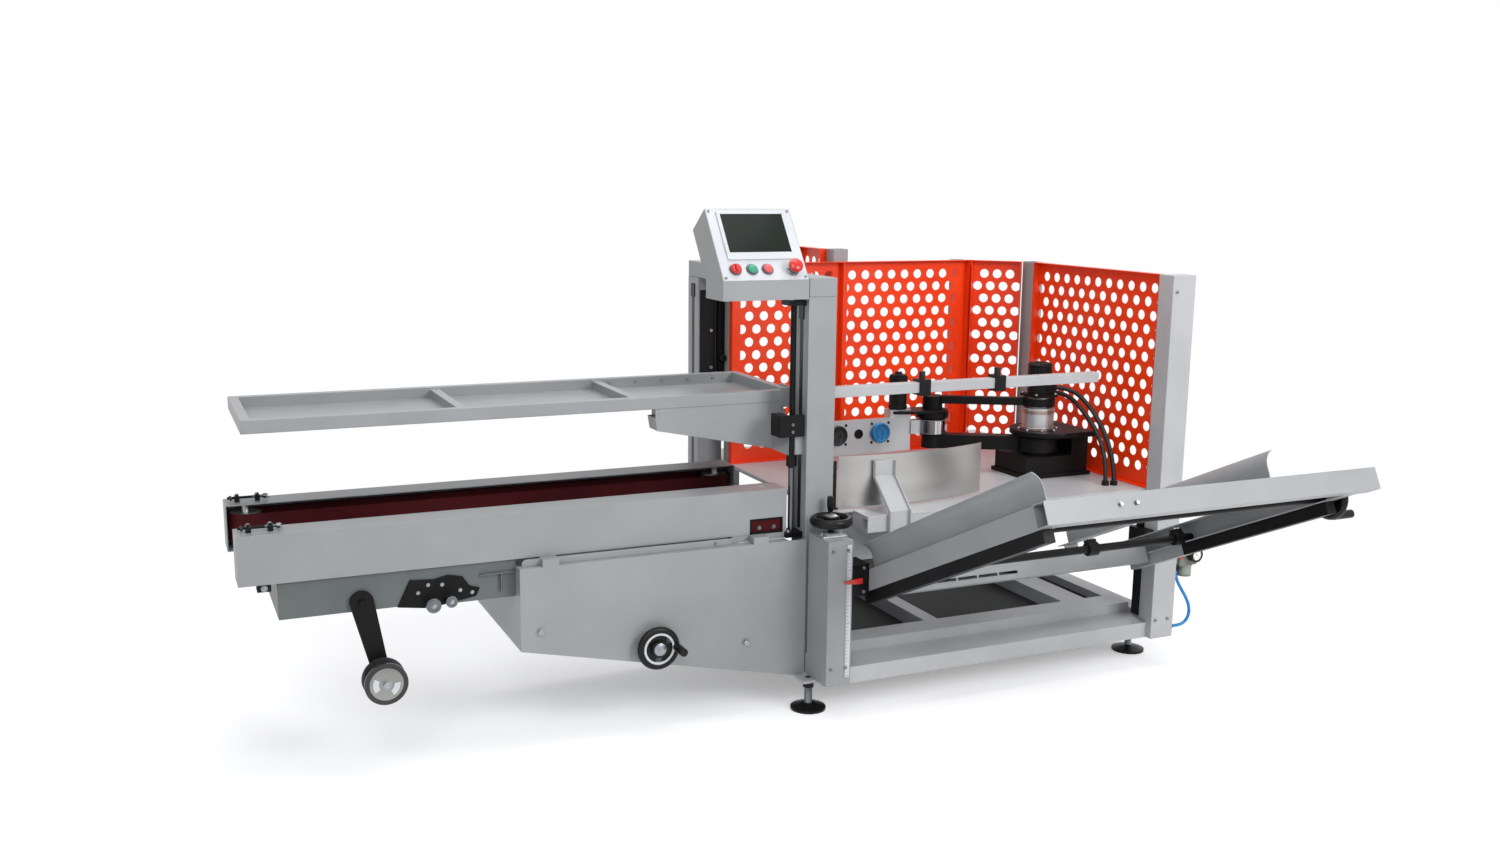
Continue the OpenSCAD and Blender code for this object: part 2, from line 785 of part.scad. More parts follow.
// Upper guide bar cantilevered from the front portal column
module guide_bar() {
    color("silver") translate([deck_x, guide_bar_y, guide_bar_z])
        tube_x(guide_bar_l, guide_bar_w, guide_bar_w, 3);
}

clamp_x = [0.309, 0.589];
clamp_w = 33;
clamp_t = 8;
// Clamps with knobs that ride on the guide bar
module guide_clamps() {
    color("black") for (s = clamp_x) translate([deck_x + s * guide_bar_l, guide_bar_y, guide_bar_z]) {
        difference() {
            translate([0, -clamp_t, -clamp_t])
                cube([clamp_w, guide_bar_w + 2 * clamp_t, guide_bar_w + 2 * clamp_t]);
            translate([-1, -clearance, -clearance])
                cube([clamp_w + 2, guide_bar_w + 2 * clearance, guide_bar_w + 2 * clearance]);
        }
        translate([clamp_w / 2, guide_bar_w / 2, guide_bar_w + clamp_t]) cylinder(d = 18, h = 22);
    }
}

axis_x = base_x0 + pivot_x;
axis_y = rail_y + pivot_y;
housing_shift = 19;
housing_foot = [248, 186, 12];
housing_body = [232, 170, 54];
neck_d = 100;
neck_h = 60;
disc_d = 220;
disc_h = 16;
disc_shift = 28;
disc_l = 114;
tower = [62, 170];
tower_gap = 7;
neck_z = deck_z + housing_foot[2] + housing_body[2];
disc_z = neck_z + neck_h;
gearbox_z = disc_z + disc_h;
// Fixed pivot housing: foot plate, low box, bearing neck, tower beside the hub and round-ended top plate
module pivot_housing() {
    color("black") translate([axis_x, axis_y, 0]) {
        translate([housing_shift - housing_foot[0] / 2, -housing_foot[1] / 2, deck_z]) cube(housing_foot);
        translate([housing_shift - housing_body[0] / 2, -housing_body[1] / 2, deck_z + housing_foot[2]])
            cube(housing_body);
        translate([0, 0, neck_z]) cylinder(d = neck_d, h = neck_h);
        translate([neck_d / 2 + hub_wall + tower_gap, -tower[1] / 2, neck_z])
            cube([tower[0], tower[1], neck_h]);
        translate([disc_shift, 0, disc_z]) {
            cylinder(d = disc_d, h = disc_h);
            translate([0, -disc_d / 2, 0]) cube([disc_l, disc_d, disc_h]);
        }
    }
}

gearbox_d = 99;
gearbox_h = 70;
gear_neck_d = 70;
gear_neck_h = 34;
// Gearbox on the disc, with the upper bearing neck on top
module gearbox() {
    color("silver") translate([axis_x, axis_y, gearbox_z]) {
        cylinder(d = gearbox_d, h = gearbox_h);
        translate([0, 0, gearbox_h]) cylinder(d = gear_neck_d, h = gear_neck_h);
    }
}

motor_d = 74;
motor_h = 100;
motor_flange = 84;
motor_flange_h = 8;
cable_box = [18, 48, 44];
motor_z = gearbox_z + gearbox_h + gear_neck_h;
// Motor on top of the gearbox, with a cable box on its side
module pivot_motor() {
    color("black") translate([axis_x, axis_y, motor_z]) {
        translate([-motor_flange / 2, -motor_flange / 2, 0]) cube([motor_flange, motor_flange, motor_flange_h]);
        cylinder(d = motor_d, h = motor_h);
        translate([motor_d / 2 - 8, -21, 1]) cube(cable_box);
    }
}

hub_wall = 16;
lower_arm = [48, 44];
upper_arm = [26, 24];
lower_arm_z = neck_z + 8;
upper_arm_z = gearbox_z + gearbox_h + 5;
tip_x = axis_x - arm_l * cos(arm_turn);
tip_y = axis_y + arm_l * sin(arm_turn);
tip_r = 32;
sleeve_r = 39;
sleeve_z = deck_z + 115;
sleeve_h = 58;
tip_cap_r = 52;
tip_cap_h = 15;
tip_z1 = upper_arm_z + upper_arm[1];
// Ring on the swing axis with its arm out to the tip post, the arm's section given as width and height
module swing_link(bore, section) {
    difference() {
        union() {
            cylinder(d = bore + 2 * hub_wall, h = section[1]);
            translate([-arm_l, -section[0] / 2, 0]) cube([arm_l - bore / 2, section[0], section[1]]);
        }
        translate([0, 0, -1]) cylinder(d = bore, h = section[1] + 2);
    }
}

actuator_d = 56;
actuator_h = 106;
block = [74, 40, 132];
block_x = tip_x - 155;
plate_t = 8;
plate_y = tip_y - 11;
plate_z = deck_z + 70;
// Swing arms: two links on the swing axis joined by a turned tip post, and the actuator beside it
module swing_arms() {
    color("black") {
        translate([axis_x, axis_y, 0]) rotate(-arm_turn) {
            translate([0, 0, lower_arm_z]) swing_link(neck_d + 2 * clearance, lower_arm);
            translate([0, 0, upper_arm_z]) swing_link(gear_neck_d + 2 * clearance, upper_arm);
            translate([-arm_l, 0, 0]) rotate_extrude() polygon([
                [0, lower_arm_z], [tip_r, lower_arm_z], [tip_r, sleeve_z], [sleeve_r, sleeve_z],
                [sleeve_r, sleeve_z + sleeve_h], [tip_cap_r, sleeve_z + sleeve_h],
                [tip_cap_r, sleeve_z + sleeve_h + tip_cap_h], [tip_r, sleeve_z + sleeve_h + tip_cap_h],
                [tip_r, tip_z1], [0, tip_z1]
            ]);
        }
        translate([block_x + block[0] / 2, plate_y + plate_t + block[1] / 2, plate_z + block[2]])
            cylinder(d = actuator_d, h = actuator_h);
    }
}

plate_l = 238;
plate_h = 110;
plate_x1 = block_x + 12;
stem_d = 14;
cup_places = [[34, 65], [185, 65]];
plate_bore = [109, 64, 25];
ring_wall = 8;
ring_h = 44;
ring_z = sleeve_z + 7;
web_t = 24;
// Suction plate with its block, web and the ring that clamps it to the tip post
module suction_plate() {
    color("lightgray") {
        translate([plate_x1 - plate_l, plate_y, plate_z]) difference() {
            cube([plate_l, plate_t, plate_h]);
            for (c = cup_places) translate([c[0], plate_t + 1, c[1]]) rod_front(stem_d, plate_t + 2);
            translate([plate_bore[0], plate_t + 1, plate_bore[1]]) rod_front(plate_bore[2], plate_t + 2);
        }
        translate([block_x, plate_y + plate_t, plate_z]) cube(block);
        translate([0, 0, ring_z]) difference() {
            union() {
                translate([block_x + block[0] - 1, tip_y - web_t / 2 + 4, 0])
                    cube([tip_x - block_x - block[0] + 1, web_t, ring_h]);
                translate([tip_x, tip_y, 0]) cylinder(r = sleeve_r + clearance + ring_wall, h = ring_h);
            }
            translate([tip_x, tip_y, -1]) cylinder(r = sleeve_r + clearance, h = ring_h + 2);
        }
    }
}

cup_d = 64;
stem_gap = 0.3;
// Bellows suction cups with stems through the plate
module suction_cups() {
    color("blue") for (c = cup_places) translate([plate_x1 - plate_l + c[0], plate_y, plate_z + c[1]])
        rotate([90, 0, 0]) rotate_extrude() polygon([
            [4, -plate_t], [stem_d / 2 - stem_gap, -plate_t], [stem_d / 2 - stem_gap, 0], [cup_d / 2 - 6, 0],
            [cup_d / 2 - 6, 6], [cup_d / 2 - 11, 10], [cup_d / 2 - 6, 14], [cup_d / 2, 26],
            [cup_d / 2 - 2, 26], [cup_d / 2 - 11, 16], [4, 16]
        ]);
}

curve_r = 900;
curve_x = 300;
curve_y = 40;
curve_t = 3;
curve_z0 = deck_z + 6;
curve_h = 146;
curve_start = -12;
curve_end = 20;
// Curved stainless guide that turns the carton's leading flap
module curved_guide() {
    color("gainsboro") translate([curve_x, curve_y + curve_r, curve_z0]) rotate(-90 + curve_start)
        rotate_extrude(angle = curve_end - curve_start, $fn = 200) translate([curve_r - curve_t, 0])
            square([curve_t, curve_h]);
}

bracket_w = 68;
bracket_x = 212;
bracket_sheet = 3;
bracket_rim = 14;
bracket_top = curve_z0 + 130;
bracket_bend = curve_z0 + 84;
bracket_foot = beam_z - 20;
// Side view of the guide's bracket, d deep towards the front
module guide_bracket_profile(d) {
    polygon([
        [beam_y, bracket_foot], [beam_y, beam_z + beam_h + 14], [curve_y, bracket_bend], [curve_y, bracket_top],
        [curve_y - d, bracket_top], [curve_y - d, bracket_bend + 2],
        [beam_y - d, beam_z + beam_h + 16], [beam_y - d, bracket_foot]
    ]);
}

// Bracket of the curved guide: folded sheet with side flanges from the deck beam up to the guide
module guide_bracket() {
    color("lightgray") translate([bracket_x, 0, 0]) rotate([90, 0, 90]) {
        linear_extrude(bracket_w) guide_bracket_profile(bracket_sheet);
        for (x = [0, bracket_w - bracket_sheet]) translate([0, 0, x])
            linear_extrude(bracket_sheet) guide_bracket_profile(bracket_rim);
    }
}

mag_y = beam_y - 14;
mag_z = 338;
channel_w = 40;
channel_t = 3;
right_channel_x = column_x - 72;
outer_beam_d = 45;
inner_beam_d = 40;
inner_beam_h = 46;
inner_beam_w = -24;
rail_start = 62;
// Lays its children on the magazine's slope: -Y runs out along it, Z stands square to it
module on_slope() {
    translate([0, mag_y, mag_z]) rotate([-mag_slope, 0, 0]) children();
}

// C channel along -Y with its web on X = 0
module side_channel(l) {
    rotate([90, 0, 0]) linear_extrude(l) difference() {
        square([channel_w, mag_h]);
        translate([channel_t, channel_t]) square([channel_w, mag_h - 2 * channel_t]);
    }
}

shaft_d = 22;
inner_shaft_v = 262;
outer_shaft_v = mag_l - outer_beam_d - wheel_d / 2 - 48;
shaft_w = 15;
shaft_out = 6;
beam_out = 12;
rail_t = 2;
rail_flange = 42;
rail_flare = 24;
rail_curve_r = 40;
rail_gap = 654;
left_rail_x = mag_x + 18;
right_rail_x = left_rail_x + rail_gap;
slot_l = 62;
slot_pitch = 68;
slot_x = mag_x + 181;
stand_t = 10;
// Magazine frame: side channels, outer beam, slotted inner beam with a rail stand; the right channel is bored
module magazine_frame() {
    color("silver") on_slope() {
        translate([mag_x, 0, 0]) side_channel(mag_l - outer_beam_d);
        difference() {
            translate([right_channel_x + channel_w, 0, 0]) mirror([1, 0, 0])
                side_channel(mag_l - outer_beam_d);
            translate([right_channel_x, -outer_shaft_v, shaft_w])
                rod_x(shaft_d + 2 * clearance, channel_w + 1);
        }
        translate([mag_x - beam_out, -mag_l, 0]) tube_x(mag_w, outer_beam_d, mag_h, channel_t);
        difference() {
            translate([mag_x + channel_w, -rail_start - inner_beam_d, inner_beam_w])
                tube_x(right_channel_x - mag_x - channel_w, inner_beam_d, inner_beam_h, channel_t);
            for (i = [0 : 3]) translate([slot_x + i * slot_pitch, -rail_start - inner_beam_d - 1, -9])
                cube([slot_l, channel_t + 2, 8]);
        }
        translate([right_rail_x - rail_flange, -rail_start - inner_beam_d, inner_beam_w + inner_beam_h])
            cube([rail_flange, stand_t, mag_h - inner_beam_w - inner_beam_h]);
    }
}

rail_l = mag_l - outer_beam_d + 15 - rail_start;
rail_turn = acos(1 - rail_flare / rail_curve_r);
rail_wall = guide_h - (rail_curve_r + rail_t) * sin(rail_turn);
rail_steps = 6;
// Arc of the rail's flare at radius r, from the wall outwards
function flare(r) = [for (i = [0 : rail_steps]) let (a = i * rail_turn / rail_steps)
    [r * cos(a) - rail_curve_r, rail_wall + r * sin(a)]];
function reversed(p) = [for (i = [len(p) - 1 : -1 : 0]) p[i]];
module rail_profile() {
    polygon(concat(
        [[0, 0], [rail_flange, 0], [rail_flange, rail_t], [rail_t, rail_t]],
        flare(rail_curve_r + rail_t), reversed(flare(rail_curve_r))
    ));
}

// Carton guide rails: flared angles on the left channel, the inner beam's stand and the outer beam
module guide_rails() {
    color("silver") on_slope() translate([0, -rail_start, mag_h]) rotate([90, 0, 0]) {
        translate([left_rail_x, 0, 0]) linear_extrude(rail_l) rail_profile();
        translate([right_rail_x, 0, 0]) mirror([1, 0, 0]) linear_extrude(rail_l) rail_profile();
    }
}

outer_shaft_x0 = mag_x + channel_t;
outer_shaft_x1 = right_channel_x + channel_w + shaft_out;
// Shafts across the magazine: a tie shaft between the channels' webs and the guide adjusting shaft
module guide_shafts() {
    color("black") on_slope() {
        translate([outer_shaft_x0, -inner_shaft_v, shaft_w])
            rod_x(shaft_d, right_channel_x + channel_w - channel_t - outer_shaft_x0);
        translate([outer_shaft_x0, -outer_shaft_v, shaft_w])
            rod_x(shaft_d, outer_shaft_x1 - outer_shaft_x0);
    }
}

module guide_wheel() {
    color("black") on_slope() translate([outer_shaft_x1 + clearance, -outer_shaft_v, shaft_w])
        rotate([0, 90, 0]) hand_wheel(0);
}

slide_w = 30;
slide_t = 6;
slide_y = post_y + 40;
slide_gap = 0.5;
block_h = 90;
block_z = mag_z + 4;
block_d = 76;
block_y = post_y - 4;
strip_h = 33;
strip_w = 30;
arm_back = 6;
strip_l = mag_l - 120;
pointer_l = 42;
// Slide block beside a post with a groove over its slide, X from 0 to w towards the magazine
module slide_block(w) {
    difference() {
        translate([0, block_y, block_z]) cube([w, block_d, block_h]);
        translate([-1, slide_y - slide_gap, block_z - 1])
            cube([slide_t + slide_gap + 1, slide_w + 2 * slide_gap, block_h + 2]);
    }
}

// Black arm under a side channel
module slope_arm(x) {
    on_slope() translate([x, -strip_l, -strip_h]) cube([strip_w, strip_l - arm_back, strip_h]);
}

// Magazine carriages: slide blocks on both posts, arms under the channels and the height pointer
module magazine_carriages() {
    color("black") {
        translate([post_x + post_w + slide_gap, 0, 0])
            slide_block(mag_x - post_x - post_w - slide_gap);
        translate([column_x - slide_gap, 0, 0]) mirror([1, 0, 0])
            slide_block(column_x - slide_gap - right_channel_x - channel_w);
        slope_arm(mag_x + 2);
        slope_arm(right_channel_x + channel_w - strip_w - 2);
    }
    color("red") translate([mag_x - pointer_l - 22, block_y - 3, block_z + 40]) cube([pointer_l, 3, 9]);
}

// Slides on the facing sides of the left post and the right column
module post_slides() {
    color("dimgray") {
        translate([post_x + post_w, slide_y, base_z + 60]) cube([slide_t, slide_w, post_top - base_z - 70]);
        translate([column_x - slide_t, slide_y, base_z + 60]) cube([slide_t, slide_w, post_top - base_z - 70]);
    }
}

reg_x = base_x1;
reg_y = column_y + column_d / 2;
reg_z = 340;
gauge_d = 40;
bowl_d = 44;
// Air regulator: bracket, body, filter bowl, knob and gauge on the column's outer face
module regulator() {
    color("lightgray") {
        translate([reg_x, reg_y - 20, reg_z - 24]) cube([16, 40, 48]);
        translate([reg_x + 16, reg_y - 26, reg_z - 30]) cube([66, 52, 56]);
        translate([reg_x + 58, reg_y, reg_z - 68]) cylinder(d = bowl_d, h = 38);
        translate([reg_x + 52, reg_y, reg_z + 26]) cylinder(d = 36, h = 30);
        translate([reg_x + 62, reg_y - 26, reg_z + 6]) rod_front(gauge_d, 22);
        translate([reg_x + 24, reg_y, reg_z - 42]) cylinder(d = 14, h = 12);
        translate([reg_x, reg_y, hose_end_z]) rod_x(18, 12);
    }
}

hose_d = 10;
hose_end_z = 112;
hose_sides = 10;
// Route of the air hose from the regulator's outlet to the fitting low on the column
air_hose_route = [
    [1220, -81.5, 298], [1220, -81.5, 282], [1226, -82, 262], [1239, -83, 240], [1256, -84, 216],
    [1273, -85, 190], [1284, -86, 164], [1285, -86, 142], [1277, -85, 123], [1262, -84, 112],
    [1244, -82.5, 110], [1224, -81.5, 112], [1208, -81.5, 112]
];
conduit_d = 14;
// Routes of the two motor conduits from the motor's cable box down to the deck's front
conduit_a_route = [
    [990, 270, 822], [1002, 270, 822], [1026, 265, 819], [1046, 249, 812], [1058, 227, 801], [1060, 200, 787],
    [1060, 172, 771], [1059, 145, 753], [1058, 120, 733], [1057, 97, 711], [1056, 76, 686], [1055, 58, 658],
    [1055, 44, 628], [1054, 34, 596], [1054, 29, 574], [1054, 29, 550]
];
conduit_b_route = [
    [990, 290, 806], [1001, 290, 806], [1025, 285, 802], [1044, 270, 794], [1055, 249, 782], [1054, 222, 769],
    [1051, 195, 756], [1048, 168, 743], [1045, 142, 728], [1042, 117, 711], [1039, 94, 691], [1036, 73, 667],
    [1033, 56, 640], [1030, 44, 610], [1028, 37, 580], [1028, 37, 566], [1028, 37, 550]
];

function unit(v) = v / norm(v);
function tangent(p, i) = unit(p[min(i + 1, len(p) - 1)] - p[max(i - 1, 0)]);
function side_of(t) = unit(cross(t, [0.37, 0.88, 0.29]));
function ring(p, i, d, n) =
    let (t = tangent(p, i), a = side_of(t), b = cross(t, a))
    [for (k = [0 : n - 1]) p[i] + d / 2 * (cos(360 * k / n) * a + sin(360 * k / n) * b)];

// Round tube swept along a list of points
module swept_tube(p, d, n) {
    rings = len(p);
    points = [for (i = [0 : rings - 1]) each ring(p, i, d, n)];
    walls = [for (i = [0 : rings - 2], k = [0 : n - 1])
        [i * n + k, i * n + (k + 1) % n, (i + 1) * n + (k + 1) % n, (i + 1) * n + k]];
    first = [for (k = [n - 1 : -1 : 0]) k];
    last = [for (k = [0 : n - 1]) (rings - 1) * n + k];
    polyhedron(points = points, faces = concat(walls, [first], [last]));
}

module air_hose() {
    color("steelblue") swept_tube(air_hose_route, hose_d, hose_sides);
}

module motor_conduit_a() {
    color("black") swept_tube(conduit_a_route, conduit_d, hose_sides);
}

module motor_conduit_b() {
    color("black") swept_tube(conduit_b_route, conduit_d, hose_sides);
}

base_frame();
base_pan();
levelling_feet();
left_post();
right_column();
deck();
side_box();
portal_columns();
portal_beam();
tray_screw();
top_tray();
tray_bracket();
front_cover();
rear_cover();
front_belt();
rear_belt();
belt_pulleys();
belt_tensioners();
belt_carriers();
drive_box();
tape_head();
tape_arm();
tape_reel();
height_wheel();
lane_wheel();
guide_wheel();
hmi_box();
hmi_screen();
hmi_buttons();
back_guard_left();
back_guard_right();
corner_guard();
side_guard();
rear_guard();
guard_posts();
guide_bar();
guide_clamps();
pivot_housing();
gearbox();
pivot_motor();
swing_arms();
suction_plate();
suction_cups();
curved_guide();
guide_bracket();
magazine_frame();
guide_rails();
guide_shafts();
magazine_carriages();
post_slides();
regulator();
air_hose();
motor_conduit_a();
motor_conduit_b();
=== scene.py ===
"""Looks of a carton erecting machine: finishes, small parts, cords, studio and camera."""

import json
import logging
import math
from dataclasses import dataclass
from enum import Enum
from typing import Iterable, Sequence

import bmesh
import bpy
from mathutils import Matrix, Vector


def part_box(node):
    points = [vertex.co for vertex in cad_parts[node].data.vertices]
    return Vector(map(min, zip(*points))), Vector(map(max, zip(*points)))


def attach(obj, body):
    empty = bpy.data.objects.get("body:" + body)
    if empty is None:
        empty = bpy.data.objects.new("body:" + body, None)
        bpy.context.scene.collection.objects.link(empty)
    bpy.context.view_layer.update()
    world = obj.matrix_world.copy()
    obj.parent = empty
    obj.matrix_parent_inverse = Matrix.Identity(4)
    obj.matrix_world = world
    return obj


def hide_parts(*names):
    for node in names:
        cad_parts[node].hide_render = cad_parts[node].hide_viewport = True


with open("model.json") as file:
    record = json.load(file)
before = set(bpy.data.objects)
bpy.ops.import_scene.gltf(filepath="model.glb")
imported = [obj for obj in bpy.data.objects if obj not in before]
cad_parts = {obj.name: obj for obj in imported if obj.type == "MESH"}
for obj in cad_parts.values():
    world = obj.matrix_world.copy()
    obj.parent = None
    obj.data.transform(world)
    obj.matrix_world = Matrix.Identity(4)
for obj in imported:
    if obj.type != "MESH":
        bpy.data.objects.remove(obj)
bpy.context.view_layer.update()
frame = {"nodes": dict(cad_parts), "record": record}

log = logging.getLogger("carton_erector")
Spot = tuple[float, float]
Point = tuple[float, float, float]
Quad = tuple[float, float, float, float]
Spots = tuple[Spot, ...]

PHOTO_W, PHOTO_H = 1500, 844
SENSOR_W = 36.0


def linear(colour: str) -> Quad:
    """Turns an sRGB hex colour into linear RGBA.

    Args:
        colour: Six hex digits after a hash sign.

    Returns:
        Linear red, green, blue and an alpha of one.
    """
    parts = [int(colour[i:i + 2], 16) / 255 for i in (1, 3, 5)]
    red, green, blue = (c / 12.92 if c <= 0.04045 else ((c + 0.055) / 1.055) ** 2.4 for c in parts)
    return red, green, blue, 1.0


def add(tree: bpy.types.NodeTree, kind: str, links: dict | None = None,
        **settings: object) -> bpy.types.Node:
    """Adds a shader node with its settings and links.

    Args:
        tree: Node tree that takes the node.
        kind: Blender's type name of the node.
        links: Input name or number to an output socket, or to a plain value.
        settings: Node attributes to set.

    Returns:
        The new node.
    """
    node = tree.nodes.new(kind)
    for key, value in settings.items():
        setattr(node, key, value)
    for key, value in (links or {}).items():
        if isinstance(value, bpy.types.NodeSocket):
            tree.links.new(value, node.inputs[key])
        else:
            node.inputs[key].default_value = value
    return node


class Grain(Enum):
    """How a surface was made, which decides its pattern."""

    SPRAYED = "sprayed"
    BRUSHED_X = "brushed along X"
    MOULDED = "moulded"
    RIBBED = "ribbed"
    TURNED = "turned"
    CLEAR = "clear"


# How far a brushed pattern is drawn out along each axis
STRETCH = {Grain.BRUSHED_X: (0.02, 1.0, 1.0)}
# Scale of the wave texture that gives one rib per millimetre
WAVE_PERIOD = 314.16
# Noise values at which a finish has its second and its main colour
DRIFT_ENDS = (0.36, 0.62)
# No surface is smoother than this
LEAST_ROUGHNESS = 0.03


@dataclass(frozen=True)
class Finish:
    """One surface finish.

    Attributes:
        name: Common name of the material and how its surface was made.
        slot: The record's material slot; not used.
        colour: Main sRGB colour.
        second: sRGB colour that the main one drifts to in blotches.
        roughness: Mean roughness.
        grain: How the surface was made.
        grain_mm: Size of the pattern in millimetres.
        bump: Height of the pattern in millimetres.
        metallic: One for bare metal.
        coat: Weight of a clear coat.
        drift_mm: Size of the colour blotches in millimetres.
        spread: How far roughness swings round its mean.
        gloss: Strength of the mirror-like part of a non-metal.
    """

    name: str
    slot: str
    colour: str
    second: str
    roughness: float
    grain: Grain = Grain.SPRAYED
    grain_mm: float = 1.6
    bump: float = 0.02
    metallic: float = 0.0
    coat: float = 0.0
    drift_mm: float = 160.0
    spread: float = 0.06
    gloss: float = 0.5

    def material(self) -> bpy.types.Material:
        """Returns the finish's material, made on first use."""
        return bpy.data.materials.get(self.name) or self._make()

    def _make(self) -> bpy.types.Material:
        """Builds the node tree: colour drift, roughness swing and the surface pattern as bump.

        Returns:
            The new material.
        """
        made = bpy.data.materials.new(self.name)
        made.use_nodes = True
        tree = made.node_tree
        shader = tree.nodes["Principled BSDF"]
        shader.inputs["Metallic"].default_value = self.metallic
        shader.inputs["Coat Weight"].default_value = self.coat
        shader.inputs["Specular IOR Level"].default_value = self.gloss
        where = add(tree, "ShaderNodeTexCoord").outputs["Object"]
        stretch = STRETCH.get(self.grain, (1.0, 1.0, 1.0))
        laid = add(tree, "ShaderNodeMapping", {"Vector": where, "Scale": stretch}).outputs["Vector"]
        blotch = 1000 / self.drift_mm
        drift = add(tree, "ShaderNodeTexNoise", {"Vector": laid, "Scale": blotch, "Detail": 4.0})
        tone = add(tree, "ShaderNodeValToRGB", {"Fac": drift.outputs["Fac"]})
        stops = zip(tone.color_ramp.elements, DRIFT_ENDS, (self.second, self.colour))
        for element, position, colour in stops:
            element.position = position
            element.color = linear(colour)
        tree.links.new(tone.outputs["Color"], shader.inputs["Base Color"])
        swing = add(tree, "ShaderNodeMapRange", {
            "Value": drift.outputs["Fac"],
            "To Min": max(LEAST_ROUGHNESS, self.roughness - self.spread),
            "To Max": min(1.0, self.roughness + self.spread),
        })
        tree.links.new(swing.outputs["Result"], shader.inputs["Roughness"])
        if self.grain is not Grain.CLEAR:
            height = self._pattern(tree, laid)
            depth = self.bump / 1000
            bump = add(tree, "ShaderNodeBump", {"Height": height, "Strength": 1.0, "Distance": depth})
            tree.links.new(bump.outputs["Normal"], shader.inputs["Normal"])
        return made

    def _pattern(self, tree: bpy.types.NodeTree, laid: bpy.types.NodeSocket) -> bpy.types.NodeSocket:
        """Adds the surface pattern's nodes.

        Args:
            tree: Node tree of the material.
            laid: Stretched object coordinates.

        Returns:
            The socket that gives the pattern's height from 0 to 1.
        """
        if self.grain is Grain.RIBBED:
            ribs = add(tree, "ShaderNodeTexWave", {"Vector": laid, "Scale": WAVE_PERIOD / self.grain_mm})
            return ribs.outputs["Fac"]
        scale = 1000 / self.grain_mm
        noise = add(tree, "ShaderNodeTexNoise", {
            "Vector": laid, "Scale": scale, "Detail": 3.0, "Roughness": 0.6})
        return noise.outputs["Fac"]


# Polyester powder coat, sprayed and baked: even silver grey whose fine pebble, drawn coarser than the
# real half millimetre so that it shows, softens the highlights
POWDER_GREY = Finish(
    "powder_coat_silver_grey", "powder_grey", "#929496", "#8D8F91", 0.40,
    grain_mm=1.8, bump=0.035)
# The same coat, paler and a little smoother: painted light on the base and the right column, whose fronts
# catch bright light, and the paler tone of the deck and the guide's bar and bracket
POWDER_PALE_AND_LIT = Finish("powder_coat_pale_and_painted_light", "deck_grey", "#B0B1B3", "#A8A9AB", 0.36, bump=0.03)
# Hammered enamel on the drive box: green tinge, low gloss
ENAMEL_OLIVE = Finish(
    "hammered_enamel_olive_grey", "powder_grey", "#5C6261", "#545A59", 0.44,
    grain_mm=3.0, bump=0.06)
# Matt dark colour on the pan: painted shade for the shadow seen between the base's ties, dull, with dust
# blotches; the ruler's printed ticks share it
SHADE_AND_PRINT_DARK = Finish(
    "painted_shade_and_print_dark", "dark_pan", "#2B2C2C", "#202121", 0.62,
    bump=0.03, drift_mm=90.0, gloss=0.25)
# White powder coat on the panel's face: clean with a soft sheen
PANEL_WHITE = Finish("powder_coat_white", "panel_white", "#C8CBCF", "#C0C3C7", 0.34)
# Gloss enamel on pressed sheet: saturated orange red with wide soft highlights
GUARD_RED = Finish(
    "gloss_enamel_orange_red", "guard_red", "#EF400B", "#E73907", 0.32,
    coat=0.10, gloss=0.35)
# Black oxide on machined steel: near black with an oily sheen
BLACK_STEEL = Finish(
    "black_oxide_steel", "black_steel", "#09090A", "#111112", 0.46,
    grain_mm=1.2, bump=0.015, gloss=0.16)
# Glass-filled nylon, moulded: black, faintly textured, soft gloss
BLACK_NYLON = Finish(
    "moulded_nylon_black", "black_plastic", "#0D0D0D", "#131313", 0.36,
    Grain.MOULDED, 0.9, 0.02, gloss=0.22)
# Stainless sheet brushed along its length: warm grey with streaked reflections
STAINLESS = Finish(
    "brushed_stainless_sheet", "stainless", "#BDBCBA", "#B0AFAD", 0.30,
    Grain.BRUSHED_X, 0.8, 0.006, 1.0)
# Anodised aluminium, machined: pale metal with a satin gleam
ALUMINIUM = Finish(
    "anodised_aluminium_satin", "aluminium", "#C3C4C6", "#B5B6B8", 0.42,
    Grain.TURNED, 0.7, 0.006, 1.0)
# Zinc plating on fasteners: bluish grey metal with small soft gleams
ZINC = Finish(
    "zinc_plated_steel", "stainless", "#9EA2A7", "#8A8E93", 0.36,
    Grain.TURNED, 1.0, 0.01, 1.0, spread=0.08)
# Plain turned steel, oiled: mid grey metal with a dull gleam
SATIN_STEEL = Finish(
    "turned_steel_oiled", "stainless", "#74777B", "#65686C", 0.34,
    Grain.TURNED, 0.7, 0.006, 1.0)
# Hard chrome on the tip's sleeve: mirror that takes up the guards' red
CHROME = Finish(
    "hard_chrome_polished", "stainless", "#D6D7D9", "#CACBCD", 0.10,
    Grain.CLEAR, metallic=1.0, spread=0.03)
# Bronze bush under the gearbox: pinkish worn metal
BRONZE = Finish("turned_bronze_bush", "aluminium", "#AE9A90", "#9E8A80", 0.32, Grain.TURNED, 0.8, 0.01, 1.0)
# Cast polyurethane belt with cross ribs: dark red brown, dull
BELT = Finish(
    "cast_polyurethane_belt_dark_red", "belt_rubber", "#471014", "#380B0F", 0.60,
    Grain.RIBBED, 6.0, 0.35, gloss=0.12)
# Toughened glass over an unlit display: greenish black with a faint mirror
SCREEN = Finish(
    "toughened_glass_unlit", "screen_black", "#1C241F", "#19201C", 0.14,
    Grain.CLEAR, spread=0.02, gloss=0.10)
# Acrylic caps of the selector and the stop button, moulded: glossy clear red
ACRYLIC_RED = Finish(
    "moulded_acrylic_red", "button_red", "#CC2A22", "#BE231C", 0.20,
    Grain.MOULDED, 1.0, 0.005)
